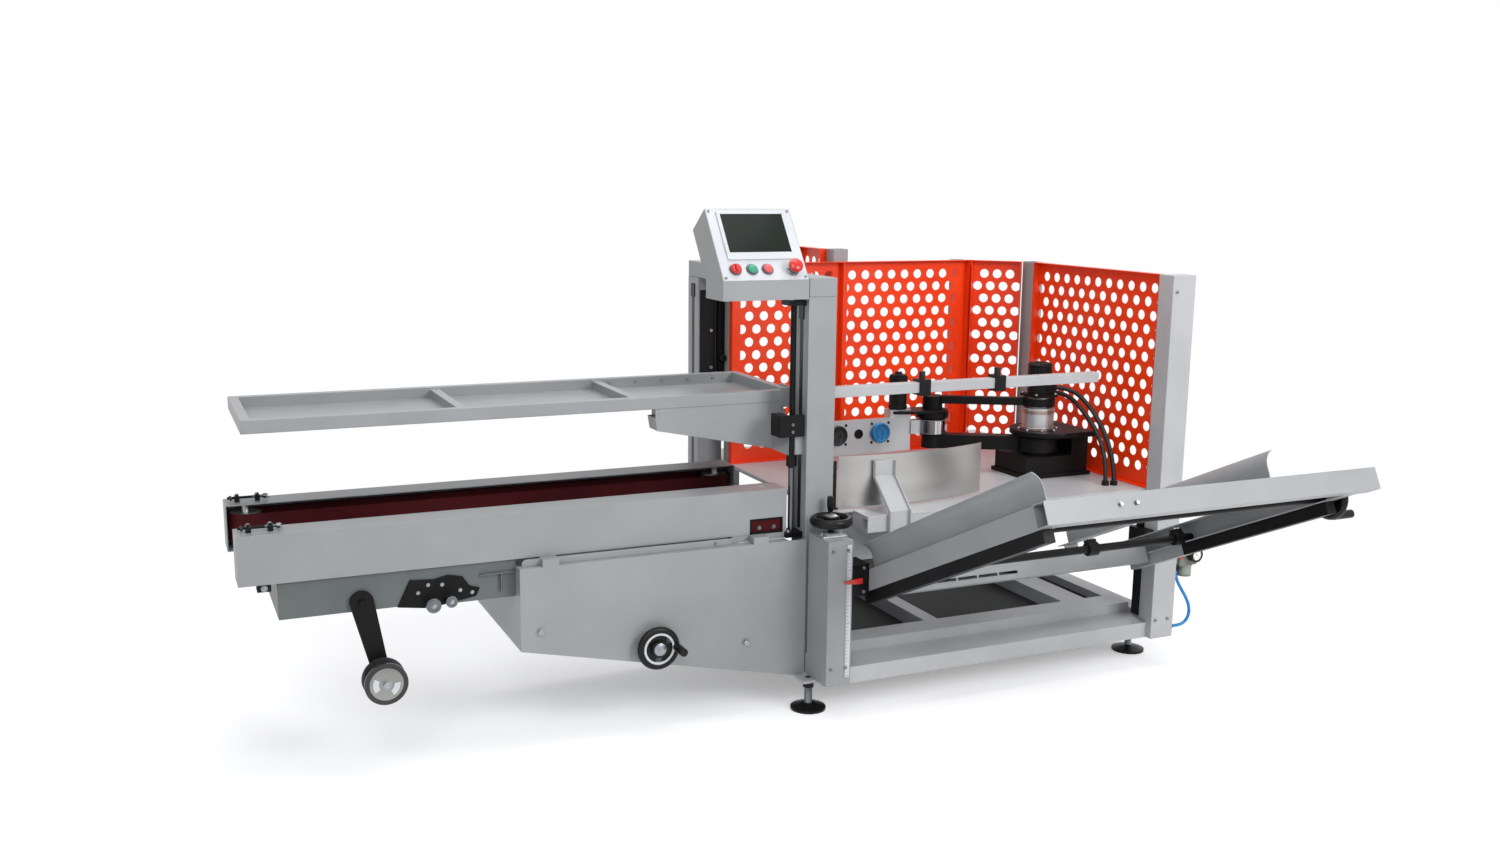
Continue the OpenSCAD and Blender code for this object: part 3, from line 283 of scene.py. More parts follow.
# Acrylic cap of the start button, moulded: glossy sea green
ACRYLIC_GREEN = Finish(
    "moulded_acrylic_green", "button_red", "#3C9C7C", "#348C6E", 0.20,
    Grain.MOULDED, 1.0, 0.005)
# Acrylic cap of the halt button, moulded: paler, pinkish and a little duller
ACRYLIC_ROSE = Finish(
    "moulded_acrylic_rose", "button_red", "#CF5A60", "#C24E54", 0.24,
    Grain.MOULDED, 1.0, 0.005)
# Silicone suction cup: rubbery blue, matt
CUP_BLUE = Finish("moulded_silicone_blue", "cup_blue", "#1F7FB8", "#1A70A6", 0.45, Grain.MOULDED, 1.0, 0.02)
# Nitrile suction cup: rubbery black, matt
CUP_BLACK = Finish(
    "moulded_nitrile_black", "cup_blue", "#1C1C1D", "#252526", 0.50,
    Grain.MOULDED, 1.0, 0.02)
# Smoked polycarbonate rims of the reel: dark and glassy
REEL_SMOKE = Finish(
    "smoked_polycarbonate_rim", "reel_clear", "#2E2F30", "#232425", 0.20,
    Grain.CLEAR, gloss=0.4)
# Spun aluminium disc of the reel: fine rings of gleam
REEL_SILVER = Finish(
    "spun_aluminium_disc", "reel_clear", "#92928F", "#7C7C79", 0.34,
    Grain.TURNED, 0.8, 0.006, 0.7)
# Die cast zinc of the air set: dull greenish grey
DIE_CAST = Finish("die_cast_zinc_grey", "regulator_grey", "#7A7C76", "#6C6E69", 0.45, bump=0.04)
# Polycarbonate bowl: cloudy, greenish
BOWL = Finish(
    "moulded_polycarbonate_bowl", "regulator_grey", "#8E958C", "#7F867D", 0.18,
    Grain.MOULDED, 1.2, 0.01, coat=0.3)
# Printed gauge card under glass: plain white
GAUGE_WHITE = Finish("printed_card_white", "panel_white", "#F2F2EE", "#E9E9E4", 0.30, Grain.CLEAR, coat=0.4)
# Extruded polyurethane air hose: bright blue with a long gleam
HOSE_BLUE = Finish(
    "extruded_polyurethane_blue", "hose_blue", "#1B84CC", "#1776B8", 0.26,
    Grain.MOULDED, 1.0, 0.005)
# Corrugated nylon conduit: black with a gleam on each rib
CONDUIT = Finish(
    "corrugated_nylon_black", "conduit_black", "#0E0E0E", "#151515", 0.42,
    Grain.MOULDED, 0.8, 0.01, gloss=0.4)

NODE_FINISH: dict[Finish, tuple[str, ...]] = {
    POWDER_GREY: (
        "left_post", "side_box", "portal_columns", "portal_beam", "front_cover", "rear_cover",
        "belt_carriers", "guard_posts", "magazine_frame", "guide_rails", "tray_bracket", "hmi_box",
        "top_tray",
    ),
    # painted light: the base and the right column take the paler copy of the coat because light falls
    # brightly on them
    POWDER_PALE_AND_LIT: ("deck", "guide_bar", "guide_bracket", "base_frame", "right_column"),
    ENAMEL_OLIVE: ("drive_box", "tape_head"),
    # painted shade: the pan's dark colour stands for the shadow between the base's ties
    SHADE_AND_PRINT_DARK: ("base_pan",),
    GUARD_RED: ("back_guard_left", "back_guard_right", "corner_guard", "side_guard", "rear_guard"),
    BLACK_STEEL: (
        "tray_screw", "belt_tensioners", "tape_arm", "pivot_housing", "pivot_motor", "swing_arms",
        "guide_shafts", "magazine_carriages", "post_slides",
    ),
    BLACK_NYLON: ("levelling_feet", "height_wheel", "lane_wheel", "guide_wheel", "guide_clamps"),
    STAINLESS: ("curved_guide",),
    ALUMINIUM: ("belt_pulleys", "suction_plate", "gearbox"),
    BELT: ("front_belt", "rear_belt"),
    SCREEN: ("hmi_screen",),
    ACRYLIC_RED: ("hmi_buttons",),
    CUP_BLUE: ("suction_cups",),
    REEL_SMOKE: ("tape_reel",),
    DIE_CAST: ("regulator",),
    HOSE_BLUE: ("air_hose",),
    CONDUIT: ("motor_conduit_a", "motor_conduit_b"),
}

# Folded and machined nodes whose edges catch the light, with the edge radius in millimetres
EDGE_RADIUS = {
    "front_cover": 2.0, "rear_cover": 2.0, "top_tray": 1.6, "side_box": 2.4, "drive_box": 2.0,
    "left_post": 2.5, "right_column": 2.5, "portal_beam": 3.0, "deck": 1.2, "tray_bracket": 2.0,
    "hmi_box": 2.2, "guard_posts": 2.5, "guide_bar": 2.0, "magazine_frame": 1.6, "pivot_housing": 1.5,
    "belt_carriers": 1.2, "guide_clamps": 1.2, "base_frame": 2.0, "guide_bracket": 1.0,
    "magazine_carriages": 1.5, "tape_head": 0.8,
}
# Angles in degrees over which an edge is rounded, and over which it is shaded sharp
ROUND_ANGLE, SHARP_ANGLE = 40, 34


def dress_nodes() -> None:
    """Gives every carried-over CAD node its finish, and the folded ones rounded edges."""
    for finish, names in NODE_FINISH.items():
        for name in names:
            materials = frame["nodes"][name].data.materials
            materials.clear()
            materials.append(finish.material())
            log.info("dressed %s with %s", name, finish.name)
    for name, radius in EDGE_RADIUS.items():
        node = frame["nodes"][name]
        weld = node.modifiers.new("join_corners", "WELD")
        weld.merge_threshold = 1e-5
        round_edges(node, radius)


def round_edges(item: bpy.types.Object, radius: float) -> None:
    """Adds a small rounding to an object's sharp edges.

    Args:
        item: Object to round.
        radius: Radius in millimetres.
    """
    bevel = item.modifiers.new("round_edges", "BEVEL")
    bevel.width = radius / 1000
    bevel.segments = 2
    bevel.limit_method = "ANGLE"
    bevel.angle_limit = math.radians(ROUND_ANGLE)
    bevel.use_clamp_overlap = True
    bevel.harden_normals = True


def corners(node: str) -> tuple[Vector, Vector]:
    """Returns the lowest and highest corner of a CAD node in millimetres."""
    low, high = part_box(node)
    return Vector(low) * 1000, Vector(high) * 1000


def arc(radius: float, start: float, step: float, count: int) -> list[Spot]:
    """Lays points on a circle round the origin.

    Args:
        radius: Radius of the circle.
        start: Angle of the first point in degrees.
        step: Angle from point to point in degrees.
        count: Number of points.

    Returns:
        The points in order.
    """
    turns = [math.radians(start + step * i) for i in range(count)]
    return [(radius * math.cos(t), radius * math.sin(t)) for t in turns]


class Body(Enum):
    """CAD bodies that pieces ride on."""

    MACHINE = "machine"
    TRAY = "tray"
    MAGAZINE = "magazine"
    SWING = "swing"
    HEIGHT_WHEEL = "height_wheel"
    LANE_WHEEL = "lane_wheel"
    GUIDE_WHEEL = "guide_wheel"
    TAPE_REEL = "tape_reel"


FRONT: Point = (0, -1, 0)
BACK: Point = (0, 1, 0)
LEFT: Point = (-1, 0, 0)
RIGHT: Point = (1, 0, 0)
UP: Point = (0, 0, 1)

# Chamfers on the ends of bars and sleeves in millimetres
BAR_CHAMFER, SLEEVE_CHAMFER = 0.8, 0.6
# Washer's thickness and radius, head's height and corner radius of a hexagon bolt, per width of its head
HEX_SHARES = (0.14, 0.72, 0.66, 0.577)
# Height of a socket screw's head per width, and its outline as shares of radius and height
SOCKET_HEIGHT = 0.55
SOCKET_OUTLINE = ((0, 0.2), (0.5, 0.2), (0.5, 1), (0.88, 1), (1, 0.82), (1, 0), (0, 0))


class Shape:
    """One mesh in the making, drawn in millimetres.

    Attributes:
        mesh: The mesh so far.
        place: Matrix from the drawing's frame to the row frame, in millimetres.
    """

    def __init__(self, place: Matrix | None = None) -> None:
        """Starts an empty mesh, drawn in the row frame unless a place is given."""
        self.mesh = bmesh.new()
        self.place = place or Matrix.Identity(4)

    def _vert(self, point: Sequence[float]) -> bmesh.types.BMVert:
        """Adds a vertex at a point of the drawing."""
        return self.mesh.verts.new((self.place @ Vector(point)) / 1000)

    def _skin(self, rings: list[list[bmesh.types.BMVert]]) -> None:
        """Joins rings of vertices in order.

        Args:
            rings: Rings with the same number of vertices; a ring of one is a pole.
        """
        for a, b in zip(rings, rings[1:]):
            count = max(len(a), len(b))
            for i in range(count):
                j = (i + 1) % count
                quad = (a[i % len(a)], a[j % len(a)], b[j % len(b)], b[i % len(b)])
                self.mesh.faces.new(dict.fromkeys(quad))

    def prism(self, outline: Iterable[Sequence[float]], origin: Point, across: Point, up: Point,
              depth: float) -> "Shape":
        """Extrudes a flat outline.

        Args:
            outline: Points as distances along across and up.
            origin: Zero point of the outline.
            across: First direction of the outline.
            up: Second direction of the outline.
            depth: Length of the extrusion along across × up.

        Returns:
            The shape itself.
        """
        start, u, v = Vector(origin), Vector(across).normalized(), Vector(up).normalized()
        flat = [start + u * x + v * y for x, y in outline]
        out = u.cross(v) * depth
        low, high = [self._vert(p) for p in flat], [self._vert(p + out) for p in flat]
        self.mesh.faces.new(low)
        self.mesh.faces.new(high)
        self._skin([low, high])
        return self

    def box(self, low: Sequence[float], high: Sequence[float]) -> "Shape":
        """Adds a block between two corners and returns the shape."""
        w, d, h = (b - a for a, b in zip(low, high))
        return self.prism([(0, 0), (w, 0), (w, d), (0, d)], low, RIGHT, BACK, h)

    def lathe(self, profile: Sequence[Spot], origin: Sequence[float], axis: Point,
              sides: int = 32) -> "Shape":
        """Turns a profile about an axis.

        Args:
            profile: Radius and distance along the axis of each point.
            origin: Zero point on the axis.
            axis: Direction of the axis.
            sides: Number of facets round it.

        Returns:
            The shape itself.
        """
        along = Vector(axis).normalized()
        side = along.orthogonal().normalized()
        other = along.cross(side)
        rays = [side * x + other * y for x, y in arc(1, 0, 360 / sides, sides)]
        rings = []
        for radius, height in profile:
            centre = Vector(origin) + along * height
            rings.append([self._vert(centre + ray * radius) for ray in (rays if radius else rays[:1])])
        self._skin(rings)
        return self

    def rod(self, start: Sequence[float], end: Sequence[float], radius: float, sides: int = 24) -> "Shape":
        """Adds a round bar with chamfered ends.

        Args:
            start: Centre of its first end.
            end: Centre of its other end.
            radius: Radius of the bar.
            sides: Number of facets round it.

        Returns:
            The shape itself.
        """
        axis = Vector(end) - Vector(start)
        length, cut = axis.length, min(BAR_CHAMFER, radius / 5)
        flat = radius - cut
        profile = [(0, 0), (flat, 0), (radius, cut), (radius, length - cut), (flat, length), (0, length)]
        return self.lathe(profile, start, axis, sides)

    def tube(self, start: Sequence[float], axis: Point, length: float, inner: float,
             outer: float) -> "Shape":
        """Adds a round sleeve.

        Args:
            start: Centre of its first end.
            axis: Direction of its length.
            length: Length of the sleeve.
            inner: Radius of its bore.
            outer: Radius of its outside.

        Returns:
            The shape itself.
        """
        cut = SLEEVE_CHAMFER
        flat = outer - cut
        skin = [(flat, 0), (outer, cut), (outer, length - cut), (flat, length)]
        return self.lathe([(inner, 0), *skin, (inner, length), (inner, 0)], start, axis, 48)

    def thread(self, start: Sequence[float], axis: Point, length: float, root: float, crest: float,
               pitch: float) -> "Shape":
        """Adds the ridges of a screw thread round a bar.

        Args:
            start: Centre of the thread's first end.
            axis: Direction of its length.
            length: Length of the thread.
            root: Radius between the ridges.
            crest: Radius of the ridges.
            pitch: Distance from ridge to ridge.

        Returns:
            The shape itself.
        """
        turns = int(length / pitch)
        profile = [(root, 0)]
        for i in range(turns):
            profile += [(crest, (i + 0.4) * pitch), (crest, (i + 0.6) * pitch), (root, (i + 1) * pitch)]
        return self.lathe(profile, start, axis, 20)

    def hex_bolt(self, at: Sequence[float], axis: Point, across: float) -> "Shape":
        """Adds a hexagon bolt head on its washer.

        Args:
            at: Point that the washer lies on.
            axis: Direction out of the surface.
            across: Width of the head.

        Returns:
            The shape itself.
        """
        thin, wide, high, rim = (share * across for share in HEX_SHARES)
        self.lathe([(0, 0), (wide, 0), (wide, thin), (0, thin)], at, axis, 24)
        head = [(0, thin), (rim, thin), (rim, 0.9 * high), (0.86 * rim, high), (0, high)]
        return self.lathe(head, at, axis, 6)

    def cap_screw(self, at: Sequence[float], axis: Point, across: float) -> "Shape":
        """Adds a round socket screw head with its key recess and returns the shape."""
        radius, high = across / 2, SOCKET_HEIGHT * across
        return self.lathe([(radius * r, high * h) for r, h in SOCKET_OUTLINE], at, axis, 18)

    def screw_column(self, row: tuple[float, Sequence[float], float], face: float) -> "Shape":
        """Adds socket screws above each other on an upright face.

        Args:
            row: Place across, heights and width of the screws.
            face: Y of the face.

        Returns:
            The shape itself.
        """
        x, heights, across = row
        for z in heights:
            self.cap_screw((x, face, z), FRONT, across)
        return self

    def sweep(self, path: Sequence[Vector], radii: Sequence[float], sides: int) -> "Shape":
        """Runs a round section along a path.

        Args:
            path: Points of the centreline.
            radii: Radius at each point.
            sides: Number of facets round it.

        Returns:
            The shape itself.
        """
        side = (path[1] - path[0]).orthogonal().normalized()
        spots = arc(1, 0, 360 / sides, sides)
        rings = []
        for i, point in enumerate(path):
            ahead = (path[min(i + 1, len(path) - 1)] - path[max(i - 1, 0)]).normalized()
            side = (side - ahead * side.dot(ahead)).normalized()
            other = ahead.cross(side)
            rings.append([self._vert(point + (side * x + other * y) * radii[i]) for x, y in spots])
        self._skin([[self._vert(path[0])], *rings, [self._vert(path[-1])]])
        return self

    def piece(self, name: str, finish: Finish, body: Body = Body.MACHINE, stands_for: Sequence[str] = (),
              edge: float = 0.0) -> bpy.types.Object:
        """Turns the shape into a piece of the object.

        Args:
            name: Name of the piece.
            finish: Its surface.
            body: CAD body that it rides on.
            stands_for: CAD nodes that it is shown instead of.
            edge: Radius of its sharp edges in millimetres.

        Returns:
            The new object.
        """
        bmesh.ops.remove_doubles(self.mesh, verts=self.mesh.verts, dist=1e-6)
        bmesh.ops.recalc_face_normals(self.mesh, faces=self.mesh.faces)
        data = bpy.data.meshes.new(name)
        self.mesh.to_mesh(data)
        self.mesh.free()
        data.shade_smooth()
        data.set_sharp_from_angle(angle=math.radians(SHARP_ANGLE))
        data.materials.append(finish.material())
        item = bpy.data.objects.new(name, data)
        bpy.context.scene.collection.objects.link(item)
        if edge:
            round_edges(item, edge)
        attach(item, body.value)
        if stands_for:
            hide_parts(*stands_for)
        log.info("made %s on %s, %d faces", name, body.value, len(data.polygons))
        return item


@dataclass
class Cord:
    """A stiff hose or conduit between two points of the machine.

    Attributes:
        node: CAD node that it stands for.
        finish: Its surface.
        diameter: Outer diameter in millimetres.
        route: Points of its centreline in millimetres, as the CAD has them.
        rib: Pitch of its corrugation in millimetres, or zero for a smooth hose.
        groove: Depth of the corrugation in millimetres.
        fill: Points of the smooth curve on each stretch of the route.
        ease: Averaging steps that open its bends.
        fine: Distance between points while the bends are opened.
        step: Distance between rings of a smooth hose.
        sides: Number of facets round it.
    """

    node: str
    finish: Finish
    diameter: float
    route: tuple[Point, ...]
    rib: float = 0.0
    groove: float = 0.7
    fill: int = 12
    ease: int = 90
    fine: float = 2.0
    step: float = 4.0
    sides: int = 16

    def build(self) -> None:
        """Adds the cord."""
        step = self.rib / 4 if self.rib else self.step
        path = self._spaced(self._eased(self._spaced(self._smooth(), self.fine)), step)
        outer = self.diameter / 2
        radii = [outer - self.groove if self.rib and i % 4 == 3 else outer for i in range(len(path))]
        shape = Shape().sweep(path, radii, self.sides)
        item = shape.piece(f"{self.node}_cord", self.finish, stands_for=(self.node,))

    def _smooth(self) -> list[Vector]:
        """Runs one smooth curve through the route's points.

        Returns:
            Points of the curve.
        """
        points = [Vector(p) for p in self.route]
        ends = [2 * points[0] - points[1], *points, 2 * points[-1] - points[-2]]
        curve = []
        for a, b, c, d in zip(ends, ends[1:], ends[2:], ends[3:]):
            for i in range(self.fill):
                t = i / self.fill
                curve.append(0.5 * (2 * b + (c - a) * t + (2 * a - 5 * b + 4 * c - d) * t * t
                                    + (3 * b - a - 3 * c + d) * t ** 3))
        return [*curve, points[-1]]

    def _eased(self, curve: list[Vector]) -> list[Vector]:
        """Opens a curve's tight bends by small averaging steps and keeps its ends.

        Args:
            curve: Points of the curve.

        Returns:
            Points of the opened curve.
        """
        for _ in range(self.ease):
            inner = [(a + 2 * b + c) / 4 for a, b, c in zip(curve[1:], curve[2:], curve[3:])]
            curve = [*curve[:2], *inner, curve[-1]]
        return curve

    def _spaced(self, curve: list[Vector], step: float) -> list[Vector]:
        """Lays points along a curve at even steps, with both of its ends.

        Args:
            curve: Points of the curve.
            step: Distance from point to point.

        Returns:
            The new points.
        """
        spaced, left = [curve[0]], step
        for a, b in zip(curve, curve[1:]):
            span = (b - a).length
            while left <= span:
                spaced.append(a.lerp(b, left / span))
                left += step
            left -= span
        return [*spaced[:-1], curve[-1]]


AIR_HOSE = Cord("air_hose", HOSE_BLUE, 10.0, (
    (1220, -81.5, 298), (1220, -81.5, 282), (1226, -82, 262), (1239, -83, 240), (1256, -84, 216),
    (1273, -85, 190), (1284, -86, 164), (1285, -86, 142), (1277, -85, 123), (1262, -84, 112),
    (1244, -82.5, 110), (1224, -81.5, 112), (1208, -81.5, 112),
), ease=160)
CONDUIT_A = Cord("motor_conduit_a", CONDUIT, 14.0, (
    (990, 270, 822), (1002, 270, 822), (1026, 265, 819), (1046, 249, 812), (1058, 227, 801),
    (1060, 200, 787), (1060, 172, 771), (1059, 145, 753), (1058, 120, 733), (1057, 97, 711),
    (1056, 76, 686), (1055, 58, 658), (1055, 44, 628), (1054, 34, 596), (1054, 29, 574),
    (1054, 29, 550),
), rib=4.8)
CONDUIT_B = Cord("motor_conduit_b", CONDUIT, 14.0, (
    (990, 290, 806), (1001, 290, 806), (1025, 285, 802), (1044, 270, 794), (1055, 249, 782),
    (1054, 222, 769), (1051, 195, 756), (1048, 168, 743), (1045, 142, 728), (1042, 117, 711),
    (1039, 94, 691), (1036, 73, 667), (1033, 56, 640), (1030, 44, 610), (1028, 37, 580),
    (1028, 37, 566), (1028, 37, 550),
), rib=4.8)


@dataclass
class Camera:
    """The photograph's camera, fitted to the machine's straight edges.

    Attributes:
        place: Position in metres.
        yaw: Turn from +Y towards +X in degrees.
        pitch: Tilt below level in degrees.
        roll: Turn about the line of sight in degrees.
        focal: Focal length in pixels of the photograph.
        centre: Principal point in pixels of the photograph.
    """

    place: Point = (-1.6719, -3.2680, 1.4522)
    yaw: float = 24.43
    pitch: float = 10.46
    roll: float = 0.62
    focal: float = 1374.5
    centre: tuple[float, float] = (750.2, 436.3)

    def build(self) -> bpy.types.Object:
        """Adds the camera and makes it the scene's.

        Returns:
            The camera object.
        """
        yaw, pitch, roll = (math.radians(a) for a in (self.yaw, self.pitch, self.roll))
        ahead = Vector((math.sin(yaw) * math.cos(pitch), math.cos(yaw) * math.cos(pitch), -math.sin(pitch)))
        level = Vector((math.cos(yaw), -math.sin(yaw), 0.0))
        upright = level.cross(ahead)
        right = math.cos(roll) * level + math.sin(roll) * upright
        up = math.cos(roll) * upright - math.sin(roll) * level
        data = bpy.data.cameras.new("photo_camera")
        data.sensor_width = SENSOR_W
        data.lens = SENSOR_W * self.focal / PHOTO_W
        data.shift_x = (PHOTO_W / 2 - self.centre[0]) / PHOTO_W
        data.shift_y = (self.centre[1] - PHOTO_H / 2) / PHOTO_W
        camera = bpy.data.objects.new("photo_camera", data)
        axes = Matrix((right, up, -ahead)).transposed().to_4x4()
        camera.matrix_world = Matrix.Translation(Vector(self.place)) @ axes
        bpy.context.scene.collection.objects.link(camera)
        bpy.context.scene.camera = camera
        return camera


@dataclass
class Lamp:
    """A soft rectangular studio lamp.

    Attributes:
        name: Name of the lamp.
        place: Position in metres.
        target: Point that it faces.
        size: Width and height in metres.
        power: Power in watts.
    """

    name: str
    place: Point
    target: Point
    size: tuple[float, float]
    power: float

    def build(self) -> None:
        """Adds the lamp."""
        data = bpy.data.lights.new(self.name, "AREA")
        data.shape = "RECTANGLE"
        data.size, data.size_y = self.size
        data.energy = self.power
        lamp = bpy.data.objects.new(self.name, data)
        lamp.location = self.place
        aim = Vector(self.target) - Vector(self.place)
        lamp.rotation_euler = aim.to_track_quat("-Z", "Y").to_euler()
        bpy.context.scene.collection.objects.link(lamp)


@dataclass
class Studio:
    """Pale floor, white surroundings and soft lamps.

    Attributes:
        floor_size: Side of the floor in metres.
        floor_colour: sRGB colour of the floor.
        floor_glow: Light of its own that lifts the floor near the machine towards white.
        fade: Distances from the machine over which the floor goes to plain white, in metres.
        sky_colour: sRGB colour of the surroundings' own light.
        sky_strength: Strength of the surroundings' light on the object.
        lamps: The lamps.
    """

    floor_size: float = 60.0
    floor_colour: str = "#F2F2F2"
    floor_glow: float = 0.30
    fade: tuple[float, float] = (1.4, 3.0)
    sky_colour: str = "#F4F6FA"
    sky_strength: float = 0.46
    lamps: tuple[Lamp, ...] = (
        Lamp("key_lamp", (-2.6, -3.4, 4.2), (0.0, 0.1, 0.6), (3.0, 3.0), 95.0),
        Lamp("top_lamp", (0.2, 0.6, 4.6), (0.0, 0.2, 0.6), (4.0, 2.5), 90.0),
        Lamp("right_lamp", (2.0, -4.2, 3.0), (0.6, -0.1, 0.4), (2.0, 2.0), 150.0),
    )

    def build(self) -> None:
        """Adds floor, surroundings and lamps, and sets the plain view transform."""
        bpy.context.scene.view_settings.view_transform = "Standard"
        self._floor()
        self._surroundings()
        for lamp in self.lamps:
            lamp.build()

    def _white_for_sight(self, tree: bpy.types.NodeTree) -> bpy.types.NodeSocket:
        """Adds the nodes that tell which rays see plain white.

        Args:
            tree: Node tree that gets them.

        Returns:
            A socket that is one for camera, glossy and transmission rays.
        """
        path = add(tree, "ShaderNodeLightPath")
        glossy = add(tree, "ShaderNodeMath", {
            0: path.outputs["Is Camera Ray"], 1: path.outputs["Is Glossy Ray"]}, operation="MAXIMUM")
        seen = add(tree, "ShaderNodeMath", {
            0: glossy.outputs[0], 1: path.outputs["Is Transmission Ray"]}, operation="MAXIMUM")
        return seen.outputs[0]

    def _floor(self) -> None:
        """Adds the floor, which keeps the object's shadow and fades to white further out."""
        mesh = bpy.data.meshes.new("studio_floor")
        half = self.floor_size / 2
        edges = [(-half, -half, 0), (half, -half, 0), (half, half, 0), (-half, half, 0)]
        mesh.from_pydata(edges, [], [(0, 1, 2, 3)])
        floor = bpy.data.objects.new("studio_floor", mesh)
        bpy.context.scene.collection.objects.link(floor)
        paint = bpy.data.materials.new("studio_floor_paper")
        paint.use_nodes = True
        tree = paint.node_tree
        tree.nodes.clear()
        matt = add(tree, "ShaderNodeBsdfDiffuse", {"Color": linear(self.floor_colour)})
        seen = self._white_for_sight(tree)
        glow = add(tree, "ShaderNodeMath", {0: seen, 1: self.floor_glow}, operation="MULTIPLY")
        lift = add(tree, "ShaderNodeEmission", {"Strength": glow.outputs[0]})
        near = add(tree, "ShaderNodeAddShader", {0: matt.outputs[0], 1: lift.outputs[0]})
        where = add(tree, "ShaderNodeTexCoord").outputs["Object"]
        away = add(tree, "ShaderNodeVectorMath", {0: where}, operation="LENGTH")
        share = add(tree, "ShaderNodeMapRange", {
            "Value": away.outputs["Value"], "From Min": self.fade[0], "From Max": self.fade[1]})
        white = add(tree, "ShaderNodeEmission", {"Color": linear("#FFFFFF"), "Strength": 1.0})
        plain = add(tree, "ShaderNodeMath", {0: seen, 1: share.outputs["Result"]}, operation="MULTIPLY")
        mixed = add(tree, "ShaderNodeMixShader", {
            0: plain.outputs[0], 1: near.outputs[0], 2: white.outputs[0]})
        add(tree, "ShaderNodeOutputMaterial", {"Surface": mixed.outputs[0]})
        mesh.materials.append(paint)

    def _surroundings(self) -> None:
        """Lights the object from all round, and shows plain white to sight and reflections."""
        world = bpy.data.worlds.new("studio_world")
        world.use_nodes = True
        bpy.context.scene.world = world
        tree = world.node_tree
        tree.nodes.clear()
        light = add(tree, "ShaderNodeBackground", {
            "Color": linear(self.sky_colour), "Strength": self.sky_strength})
        white = add(tree, "ShaderNodeBackground", {"Color": linear("#FFFFFF"), "Strength": 1.0})
        seen = self._white_for_sight(tree)
        mixed = add(tree, "ShaderNodeMixShader", {0: seen, 1: light.outputs[0], 2: white.outputs[0]})
        add(tree, "ShaderNodeOutputWorld", {"Surface": mixed.outputs[0]})


